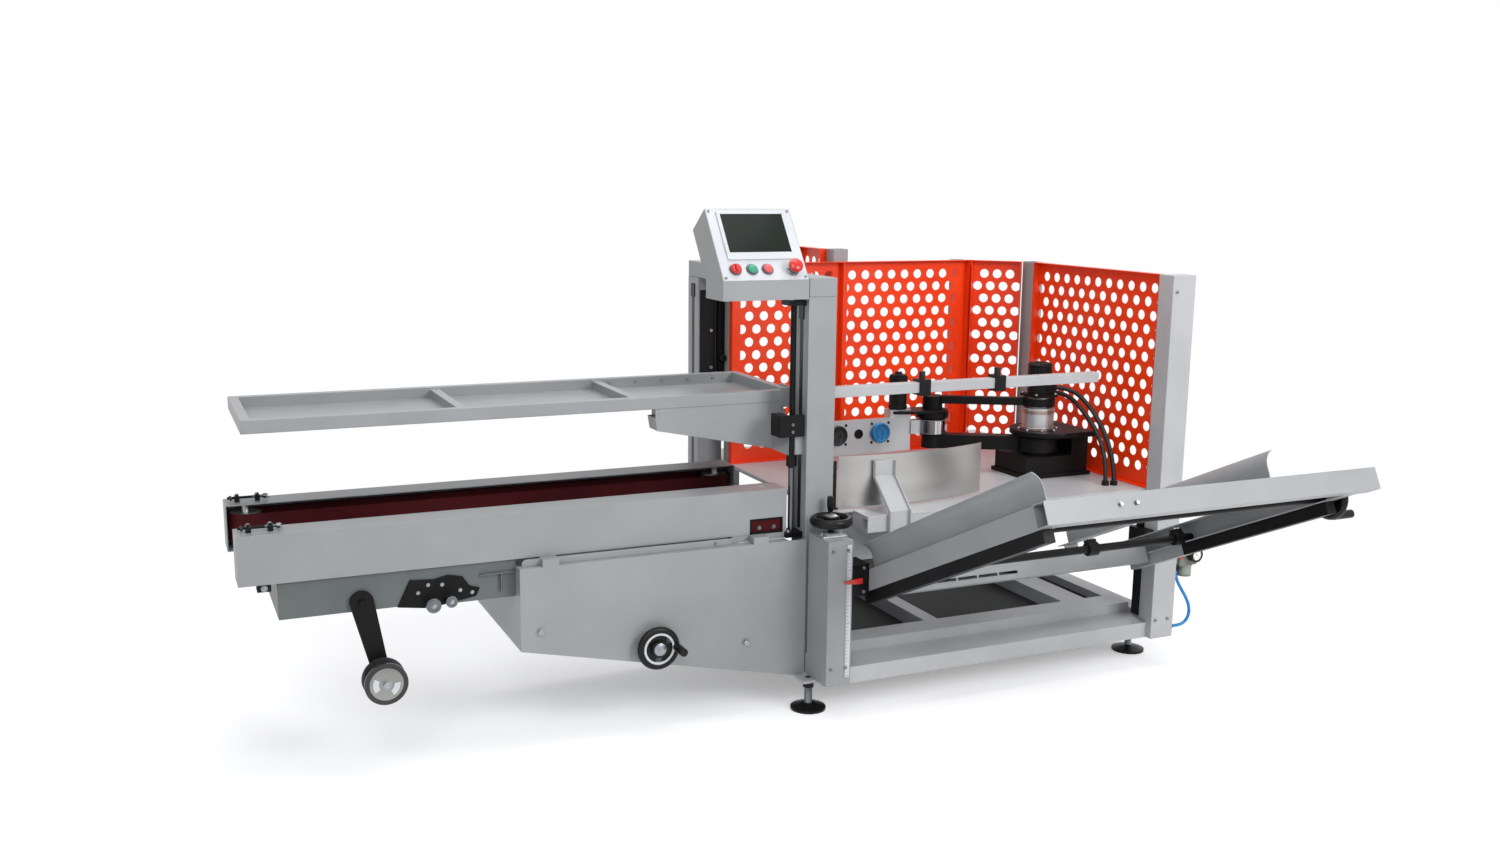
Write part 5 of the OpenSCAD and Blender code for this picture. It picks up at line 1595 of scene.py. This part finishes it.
@dataclass
class SwingUnit:
    """Small parts of the swing unit: motor, gearbox, tip and suction cups.

    Attributes:
        axis: Swing axis across and back.
        ribs: Lower ends of the motor's lowest and highest rib, and their distance.
        rib: Height, inner and outer radius of the motor's ribs.
        motor_cap: Outline of the motor's cap as radius and height.
        flange_screws: Circle's radius, number, first angle and width of the housing's screws.
        motor_screws: The same for the screws on the motor's flange.
        motor_flange: Height of the motor's flange.
        bushes: Height over the housing, length, inner and outer radius of the gearbox's bronze bushes.
        motor_glands: Back and height of the conduits' glands on the motor.
        gland_face: X of those glands' inner faces.
        deck_glands: Places of the conduits' glands on the deck.
        gland: Length, inner and outer radius of a gland on the motor.
        deck_gland: The same for a gland on the deck.
        tip: Axis of the tip post across and back.
        actuator: Axis of the actuator across and back.
        link: Radius of the link plate at the actuator and at the tip.
        link_height: Underside and thickness of the link plate.
        sleeve: Lower end, length, inner and outer radius of the tip's sleeve.
        actuator_rings: Lower ends of the actuator's rings.
        actuator_ring: Height, inner and outer radius of those rings.
        actuator_cap: Outline of the actuator's cap.
        actuator_top: Height of that cap's underside.
        port: Place from the actuator's axis, length, height and radius of its air port.
        tip_screws: Distance along and to each side of the link, and width of its screws.
        cups: Centres of the left and the right cup along X.
        cup_height: Height of the cups' centres.
        plate_face: Y of the suction plate's front.
        plate_ends: Left and right limit of the holes in the suction plate.
        dish: Outline of a cup as radius and distance out.
        spokes: Number of a cup's spokes.
        spoke: Inner end, outer end and radius of a spoke, and its distance out.
        bush: Outline of the bush between the cups.
        hole_circle: Radius of the circle of holes round a cup.
        hole: Radius and depth of those holes' dark liners.
    """

    axis: Spot = (943.0, 279.0)
    ribs: tuple[int, int, int] = (812, 884, 8)
    rib: Point = (3.2, 36.0, 38.6)
    motor_cap: Spots = ((0, 0), (36, 0), (38, 2), (38, 6), (33, 11), (16, 12), (15, 14), (0, 14))
    flange_screws: tuple[float, int, float, float] = (60.0, 8, 22.5, 10.0)
    motor_screws: tuple[float, int, float, float] = (51.0, 4, 45.0, 9.0)
    motor_flange: float = 8.0
    bushes: tuple[Quad, ...] = ((52, 12, 49.0, 51.5), (0, 8, 49.0, 54.0))
    motor_glands: Spots = ((270, 822), (290, 806))
    gland_face: float = 989.0
    deck_glands: Spots = ((1054, 29), (1028, 37))
    gland: Point = (9.0, 7.1, 10.5)
    deck_gland: Point = (14.0, 7.1, 11.0)
    tip: Spot = (650.9, 440.9)
    actuator: Spot = (532.9, 457.9)
    link: Spot = (34.0, 50.0)
    link_height: Spot = (738.5, 9.0)
    sleeve: Quad = (673.0, 42.0, 47.5, 48.4)
    actuator_rings: Point = (756.0, 838.0, 848.0)
    actuator_ring: Point = (6.0, 27.5, 30.0)
    actuator_cap: Spots = ((0, 0), (26, 0), (26, 4), (12, 7), (11, 13), (0, 13))
    actuator_top: float = 857.0
    port: tuple[float, float, float, float, float] = (22.0, -24.0, 16.0, 812.0, 6.0)
    tip_screws: Point = (16.0, 16.0, 9.0)
    cups: Spot = (303.9, 454.9)
    cup_height: float = 685.0
    plate_face: float = 429.9
    plate_ends: Spot = (274.9, 502.9)
    dish: Spots = (
        (0, 0), (31, 0), (32, 3), (32, 8), (30, 12), (27, 12),
        (22, 6), (15, 5), (14, 8), (9, 8), (8, 4), (0, 4),
    )
    spokes: int = 8
    spoke: Quad = (13.0, 27.0, 1.8, 6.4)
    bush: Spots = ((0, -5), (12.2, -5), (12.2, 0), (15, 0), (15, 2), (11, 2), (10, -2), (0, -2))
    hole_circle: float = 42.0
    hole: Spot = (4.4, 1.6)

    def build(self) -> None:
        """Adds the drive's, the tip's and the plate's small parts."""
        self._motor()
        self._glands()
        self._tip()
        self._cups()
        self._plate()

    def _motor(self) -> None:
        """Adds motor cap and ribs, flange screws and the bronze bushes."""
        x, y = self.axis
        low, high = corners("pivot_motor")
        first, last, gap = self.ribs
        motor = Shape()
        for z in range(first, last + 1, gap):
            motor.tube((x, y, z), UP, *self.rib)
        motor.lathe(self.motor_cap, (x, y, high.z - 4), UP, 48)
        motor.piece("motor_ribs", BLACK_STEEL)
        plate = corners("pivot_housing")[1].z
        screws = Shape()
        rings = ((self.flange_screws, plate), (self.motor_screws, low.z + self.motor_flange))
        for (radius, count, start, across), z in rings:
            for right, back in arc(radius, start, 360 / count, count):
                screws.cap_screw((x + right, y + back, z), UP, across)
        screws.piece("gearbox_screws", ZINC)
        bush = Shape()
        for rise, *sizes in self.bushes:
            bush.tube((x, y, plate + rise), UP, *sizes)
        bush.piece("gearbox_bush", BRONZE)

    def _glands(self) -> None:
        """Adds the conduits' glands on the motor and on the deck."""
        glands = Shape()
        for y, z in self.motor_glands:
            glands.tube((self.gland_face, y, z), RIGHT, *self.gland)
        deck = corners("deck")[1].z
        for x, y in self.deck_glands:
            glands.tube((x, y, deck), UP, *self.deck_gland)
        glands.piece("conduit_glands", BLACK_NYLON)

    def _tip(self) -> None:
        """Adds the link plate over the tip, the chrome sleeve, the actuator's rings and the link's screws."""
        (tx, ty), (ax, ay) = self.tip, self.actuator
        run = Vector((ax - tx, ay - ty, 0))
        across = run.normalized()
        up = Vector((-across.y, across.x, 0))
        far, near = self.link
        under, thick = self.link_height
        outline = [(run.length + x, y) for x, y in arc(far, -90, 15, 13)] + arc(near, 90, 15, 13)
        link = Shape().prism(outline, (tx, ty, under), across, up, thick)
        link.piece("tip_link_plate", BLACK_STEEL, Body.SWING, edge=1.2)
        start, *sizes = self.sleeve
        Shape().tube((tx, ty, start), UP, *sizes).piece("tip_sleeve", CHROME, Body.SWING)
        actuator = Shape()
        for z in self.actuator_rings:
            actuator.tube((ax, ay, z), UP, *self.actuator_ring)
        actuator.lathe(self.actuator_cap, (ax, ay, self.actuator_top), UP, 40)
        right, back, length, z, radius = self.port
        x, y = ax + right, ay + back
        actuator.rod((x, y, z), (x, y - length, z), radius)
        actuator.piece("actuator_caps", BLACK_STEEL, Body.SWING)
        along, out, wide = self.tip_screws
        top = Vector((tx, ty, under + thick))
        bolts = Shape()
        for side in (-out, out):
            bolts.cap_screw(top + across * along + up * side, UP, wide)
        bolts.piece("tip_screws", ZINC, Body.SWING)

    def _cups(self) -> None:
        """Adds the bellows cups with their spokes."""
        y, z = self.plate_face, self.cup_height
        inner, outer, radius, out = self.spoke
        left, right = self.cups
        cups = (("cup_left", left, CUP_BLACK, ()), ("cup_right", right, CUP_BLUE, ("suction_cups",)))
        for name, x, finish, stands_for in cups:
            cup = Shape().lathe(self.dish, (x, y, z), FRONT, 40)
            foot = Vector((x, y - out, z))
            for across, rise in arc(1, 15, 360 / self.spokes, self.spokes):
                ray = Vector((across, 0, rise))
                cup.rod(foot + ray * inner, foot + ray * outer, radius, 10)
            cup.piece(name, finish, Body.SWING, stands_for)

    def _plate(self) -> None:
        """Adds the bush between the cups and the holes round them."""
        y, z = self.plate_face, self.cup_height
        bush = Shape().lathe(self.bush, (sum(self.cups) / 2 - 0.5, y, z), FRONT, 32)
        bush.piece("suction_plate_bush", BLACK_NYLON, Body.SWING)
        left, right = self.plate_ends
        radius, deep = self.hole
        liner = [(0, 0), (radius, 0), (radius, deep), (0, deep)]
        holes = Shape()
        for x in self.cups:
            for across, rise in arc(self.hole_circle, 45, 90, 4):
                if left < x + across < right:
                    holes.lathe(liner, (x + across, y, z + rise), FRONT, 16)
        holes.piece("suction_plate_holes", BLACK_NYLON, Body.SWING)


@dataclass
class Magazine:
    """Small parts of the sloping magazine; sizes on the slope are in its own frame.

    Attributes:
        foot: Origin of the slope's frame.
        slope: Slope above level in degrees.
        length: Length along the slope.
        beam_bolts: Places along X of the outer beam's bolts.
        beam_bolt: Height and width of those bolts.
        arm_bolts: Distances out along the slope of the right arm's bolts.
        arm_bolt: Place across, height and width of those bolts.
        collars: Left ends along X of the tie shaft's collars.
        collar: Length, inner and outer radius of a collar.
        shaft: Distance out along the slope and height of the tie shaft.
        clamp: Inset at each end, half depth, underside and top of the block on a collar.
        clamp_screws: Distance of a block's screws from its middle and towards the front, and their width.
        arm_plate: Left and right face of the right arm, whose inner end is plated.
        arm_plate_span: Distance from the tie shaft, inner end, underside and top of that plate.
        arm_tip: Lowest and highest corner of the left arm's black tip.
        clip: Lowest and highest corner of the clip on the left arm.
        clip_leaf: Lowest and highest corner of the leaf on the clip.
        pointer: Outline of the height pointer.
        pointer_place: Zero point of that outline.
        pointer_thick: Thickness of the pointer.
        block_screws: Place across, heights and width of the screws on each slide block.
        block_face: Y of the slide blocks' fronts.
    """

    foot: Point = (0.0, -64.0, 338.0)
    slope: float = 25.0
    length: float = 920.0
    beam_bolts: Spot = (321.0, 366.0)
    beam_bolt: Spot = (30.0, 10.0)
    arm_bolts: Point = (40.0, 118.0, 196.0)
    arm_bolt: Point = (1040.0, 28.0, 11.0)
    collars: Spot = (706.0, 1010.0)
    collar: Point = (34.0, 11.1, 19.0)
    shaft: Spot = (262.0, 15.0)
    clamp: Quad = (4.0, 12.0, 14.0, 26.0)
    clamp_screws: Point = (6.0, 4.0, 8.0)
    arm_plate: Spot = (1048.0, 1078.0)
    arm_plate_span: Quad = (14.0, 5.0, -33.5, 0.4)
    arm_tip: tuple[Point, Point] = ((132, -874, -32), (162, -799, -1))
    clip: tuple[Point, Point] = ((163, -205, -18), (175, -178, 2))
    clip_leaf: tuple[Point, Point] = ((158, -212, 2), (180, -172, 4.5))
    pointer: Spots = ((0, 3), (12, 0), (44, -3), (56, -2), (56, 13), (40, 13), (12, 9), (0, 6))
    pointer_place: Point = (52.0, -98.3, 381.0)
    pointer_thick: float = 5.4
    block_screws: tuple[tuple[float, tuple[float, ...], float], ...] = (
        (112, (356, 422), 10),
        (1096, (356, 378, 400, 422), 10),
    )
    block_face: float = -99.0

    def _shape(self) -> Shape:
        """Starts a shape in the frame of the slope: -Y out along it, Z square to it."""
        return Shape(Matrix.Translation(self.foot) @ Matrix.Rotation(math.radians(-self.slope), 4, "X"))

    def build(self) -> None:
        """Adds bolts, collars, the arms' plates, the clip and the pointer."""
        bolts = self._shape()
        z, across = self.beam_bolt
        for x in self.beam_bolts:
            bolts.hex_bolt((x, -self.length, z), FRONT, across)
        x, z, across = self.arm_bolt
        for out in self.arm_bolts:
            bolts.hex_bolt((x, -out, z), LEFT, across)
        bolts.piece("magazine_bolts", ZINC, Body.MAGAZINE)
        self._collars()
        self._arms()
        self._pointer()

    def _collars(self) -> None:
        """Adds the collars on the tie shaft with their blocks and screws."""
        out, high = self.shaft
        long, *radii = self.collar
        inset, deep, under, top = self.clamp
        apart, ahead, across = self.clamp_screws
        collars, screws = self._shape(), self._shape()
        for x in self.collars:
            collars.tube((x, -out, high), RIGHT, long, *radii)
            collars.box((x + inset, -out - deep, high + under), (x + long - inset, -out + deep, high + top))
            for side in (-apart, apart):
                screws.cap_screw((x + long / 2 + side, -out - ahead, high + top), UP, across)
        collars.piece("tie_shaft_collars", BLACK_STEEL, Body.MAGAZINE, edge=0.8)
        screws.piece("collar_screws", ZINC, Body.MAGAZINE)

    def _arms(self) -> None:
        """Adds the right arm's plate and the left arm's tip and clip."""
        left, right = self.arm_plate
        gap, end, under, top = self.arm_plate_span
        cover = self._shape().box((left - 0.6, gap - self.shaft[0], under), (right + 0.6, -end, top))
        cover.piece("arm_side_plate", POWDER_GREY, Body.MAGAZINE, edge=0.5)
        self._shape().box(*self.arm_tip).piece("arm_tip", BLACK_STEEL, Body.MAGAZINE, edge=0.8)
        clip = self._shape().box(*self.clip).box(*self.clip_leaf)
        clip.piece("arm_clip", ZINC, Body.MAGAZINE, edge=0.6)

    def _pointer(self) -> None:
        """Adds the red height pointer and the screws of the slide blocks."""
        hand = Shape().prism(self.pointer, self.pointer_place, RIGHT, UP, self.pointer_thick)
        hand.piece("height_pointer", ACRYLIC_RED, Body.MAGAZINE, edge=0.8)
        heads = Shape()
        for row in self.block_screws:
            heads.screw_column(row, self.block_face)
        heads.piece("slide_block_screws", ZINC, Body.MAGAZINE)


@dataclass
class HandWheels:
    """Caps, rings and grips of the three hand wheels.

    Attributes:
        cap: Outline of a hub cap as radius and distance out.
        thick: Thickness of a wheel.
        height_axis: Axis of the height wheel across and back.
        height_base: Height of the height wheel's underside.
        rim: Radius of the rim's circle and half width of its section.
        hub: Outline of the height wheel's hub and shaft as radius and height.
        arm: Outline of an arm along and across it, up to the rim.
        arm_thick: Thickness of an arm.
        knurls: Number of finger ribs under the rim.
        knurl: Lower end, upper end and radius of a finger rib.
        grip_turn: Direction of the grip from the right, in degrees.
        grip: Outline of the grip as radius and height.
        lane_axis: Axis along X of the lane wheel.
        lane_face: Y of the lane wheel's front.
        ring: Outline of the lane wheel's pale ring as radius and distance out.
        guide_face: X of the guide wheel's outer face.
    """

    cap: Spots = ((0, 0), (17, 0), (17, 1.5), (12, 4), (6, 4.6), (6, 7), (0, 7))
    thick: float = 26.0
    height_axis: Spot = (42.5, -36.0)
    height_base: float = 533.0
    rim: Spot = (49.5, 9.5)
    hub: Spots = ((0, -26), (8, -26), (8, 0), (21, 0), (22, 2), (22, 24), (20, 26), (0, 26))
    arm: Spots = ((18, -9), (46.5, -6), (46.5, 6), (18, 9))
    arm_thick: float = 8.0
    knurls: int = 30
    knurl: Point = (1.6, 8.0, 2.6)
    grip_turn: float = 66.0
    grip: Spots = ((0, 0), (7, 0), (7, 11), (6, 13), (8, 18), (10, 40), (8.6, 56), (0, 59))
    lane_axis: float = -447.0
    lane_face: float = -12.0
    ring: Spots = ((37, -4), (43, -4), (43, -1), (37, -1), (37, -4))
    guide_face: float = 1112.3

    def build(self) -> None:
        """Adds the height wheel, the hub caps and the lane wheel's ring."""
        self._height_wheel()
        top = (*self.height_axis, self.height_base + self.thick)
        Shape().lathe(self.cap, top, UP).piece("height_wheel_cap", ZINC, Body.HEIGHT_WHEEL)
        low, high = corners("lane_wheel")
        x, face, z = self.lane_axis, self.lane_face, (low.z + high.z) / 2
        Shape().lathe(self.cap, (x, face, z), FRONT).piece("lane_wheel_cap", ZINC, Body.LANE_WHEEL)
        ring = Shape().lathe(self.ring, (x, face + 4, z), FRONT, 48)
        ring.piece("lane_wheel_ring", PANEL_WHITE, Body.LANE_WHEEL)
        low, high = corners("guide_wheel")
        centre = (self.guide_face, (low.y + high.y) / 2, (low.z + high.z) / 2)
        Shape().lathe(self.cap, centre, RIGHT).piece("guide_wheel_cap", ZINC, Body.GUIDE_WHEEL)

    def _height_wheel(self) -> None:
        """Adds the height wheel with its finger rim, three arms and turned grip."""
        (x, y), base = self.height_axis, self.height_base
        circle, half = self.rim
        middle = self.thick / 2
        loop = [(circle + half * out, middle + middle * rise) for out, rise in arc(1, 0, 18, 21)]
        wheel = Shape().lathe(loop, (x, y, base), UP, 64)
        wheel.lathe(self.hub, (x, y, base), UP, 40)
        for right, back in arc(1, self.grip_turn, 120, 3):
            under = base + middle - self.arm_thick / 2
            wheel.prism(self.arm, (x, y, under), (right, back, 0), (-back, right, 0), self.arm_thick)
        bottom, top, radius = self.knurl
        for right, back in arc(circle + 2, 0, 360 / self.knurls, self.knurls):
            wheel.rod((x + right, y + back, base + bottom), (x + right, y + back, base + top), radius, 8)
        [(right, back)] = arc(circle, self.grip_turn, 0, 1)
        wheel.lathe(self.grip, (x + right, y + back, base + middle), UP)
        wheel.piece("height_hand_wheel", BLACK_NYLON, Body.HEIGHT_WHEEL, ("height_wheel",))


@dataclass
class AirSet:
    """Gauge, knob, bowl and fittings of the air regulator.

    Attributes:
        gauge: Centre of the gauge across and up.
        gauge_radius: Radius of the gauge's case.
        marks: Number, first angle and step in degrees of the dial's marks.
        mark: Inner end, outer end and radius of a mark.
        hand_turn: Direction of the gauge's hand in degrees.
        hand: Length behind and ahead of its axis, and radius of the hand.
        knob: Axis of the knob across and back, and its underside.
        knob_outline: Outline of the knob as radius and height.
        flutes: Number of the knob's ribs.
        flute: Circle's radius, lower end, upper end and radius of those ribs.
        bowl: Axis of the bowl across and back, and its underside.
        bowl_outline: Outline of the bowl as radius and height.
        red_plate: Lowest and highest corner of the red plate beside the gauge.
        upper_fitting: Start, length, inner and outer radius of the hose's upper fitting.
        lower_fitting: The same for the hose's lower fitting.
    """

    gauge: Spot = (1258.0, 346.0)
    gauge_radius: float = 20.0
    marks: tuple[int, float, float] = (9, -45.0, 33.75)
    mark: Point = (12.0, 15.5, 0.6)
    hand_turn: float = 137.51
    hand: Point = (4.0, 12.0, 0.7)
    knob: Point = (1248.0, -81.5, 366.0)
    knob_outline: Spots = ((0, 30), (14, 30), (17.5, 27), (17.5, 8), (19, 6), (19, 0.2), (0, 0.2))
    flutes: int = 20
    flute: Quad = (17.6, 374.5, 393.0, 1.3)
    bowl: Point = (1254.0, -81.5, 270.0)
    bowl_outline: Spots = (
        (0, 0), (8, 0), (17, 3), (22.4, 9), (22.4, 34), (24, 35), (24, 40), (0, 40),
    )
    red_plate: tuple[Point, Point] = ((1214, -108.4, 332), (1226, -107.4, 356))
    upper_fitting: tuple[Point, float, float, float] = ((1220, -81.5, 291), 16.0, 5.1, 9.5)
    lower_fitting: tuple[Point, float, float, float] = ((1206, -81.5, 112), 12.0, 5.1, 9.6)

    def build(self) -> None:
        """Adds the parts of the air set."""
        self._gauge()
        x, y, _ = self.knob
        radius, bottom, top, rib = self.flute
        knob = Shape().lathe(self.knob_outline, self.knob, UP, 40)
        for right, back in arc(radius, 0, 360 / self.flutes, self.flutes):
            knob.rod((x + right, y + back, bottom), (x + right, y + back, top), rib, 8)
        knob.piece("regulator_knob", BLACK_NYLON)
        Shape().lathe(self.bowl_outline, self.bowl, UP, 40).piece("regulator_bowl", BOWL)
        Shape().box(*self.red_plate).piece("regulator_mark", ACRYLIC_RED, edge=0.3)
        start, *sizes = self.upper_fitting
        fittings = Shape().tube(start, UP, *sizes)
        start, *sizes = self.lower_fitting
        fittings.tube(start, RIGHT, *sizes)
        fittings.piece("hose_fittings", BLACK_NYLON)

    def _gauge(self) -> None:
        """Adds the gauge's case, dial, marks and hand."""
        (x, z), face, r = self.gauge, corners("regulator")[0].y, self.gauge_radius
        rim = [(r - 4, 0.2), (r + 0.6, 0.2), (r + 0.6, -21), (r + 3, -20), (r + 3, 1), (r + 1, 3), (r - 4, 3)]
        case = Shape().lathe([*rim, rim[0]], (x, face, z), FRONT, 40)
        case.piece("gauge_case", BLACK_NYLON)
        dial = Shape().lathe([(0, 0.3), (r - 3, 0.3), (r - 3, 0.9), (0, 0.9)], (x, face, z), FRONT, 40)
        dial.piece("gauge_dial", GAUGE_WHITE)
        count, first, step = self.marks
        inner, outer, radius = self.mark
        centre = Vector((x, face - 1.1, z))
        marks = Shape()
        for across, rise in arc(1, first, step, count):
            ray = Vector((across, 0, rise))
            marks.rod(centre + ray * inner, centre + ray * outer, radius, 6)
        [(across, rise)] = arc(1, self.hand_turn, 0, 1)
        ray, centre = Vector((across, 0, rise)), Vector((x, face - 1.3, z))
        behind, ahead, radius = self.hand
        marks.rod(centre - ray * behind, centre + ray * ahead, radius, 6)
        marks.piece("gauge_marks", BLACK_STEEL)


def main() -> None:
    """Builds camera, cords, studio, finishes and small parts in order."""
    logging.basicConfig(level=logging.INFO, format="%(name)s: %(message)s")
    Camera().build()
    for cord in (AIR_HOSE, CONDUIT_A, CONDUIT_B):
        cord.build()
    Studio().build()
    dress_nodes()
    assemblies = (
        Posts(), Guards(), Portal(), Outfeed(), TapeHead(), TopTray(), OperatorPanel(), SwingUnit(),
        Magazine(), HandWheels(), AirSet(),
    )
    for assembly in assemblies:
        assembly.build()
        log.info("finished %s", type(assembly).__name__)


if __name__ == "__main__":
    main()
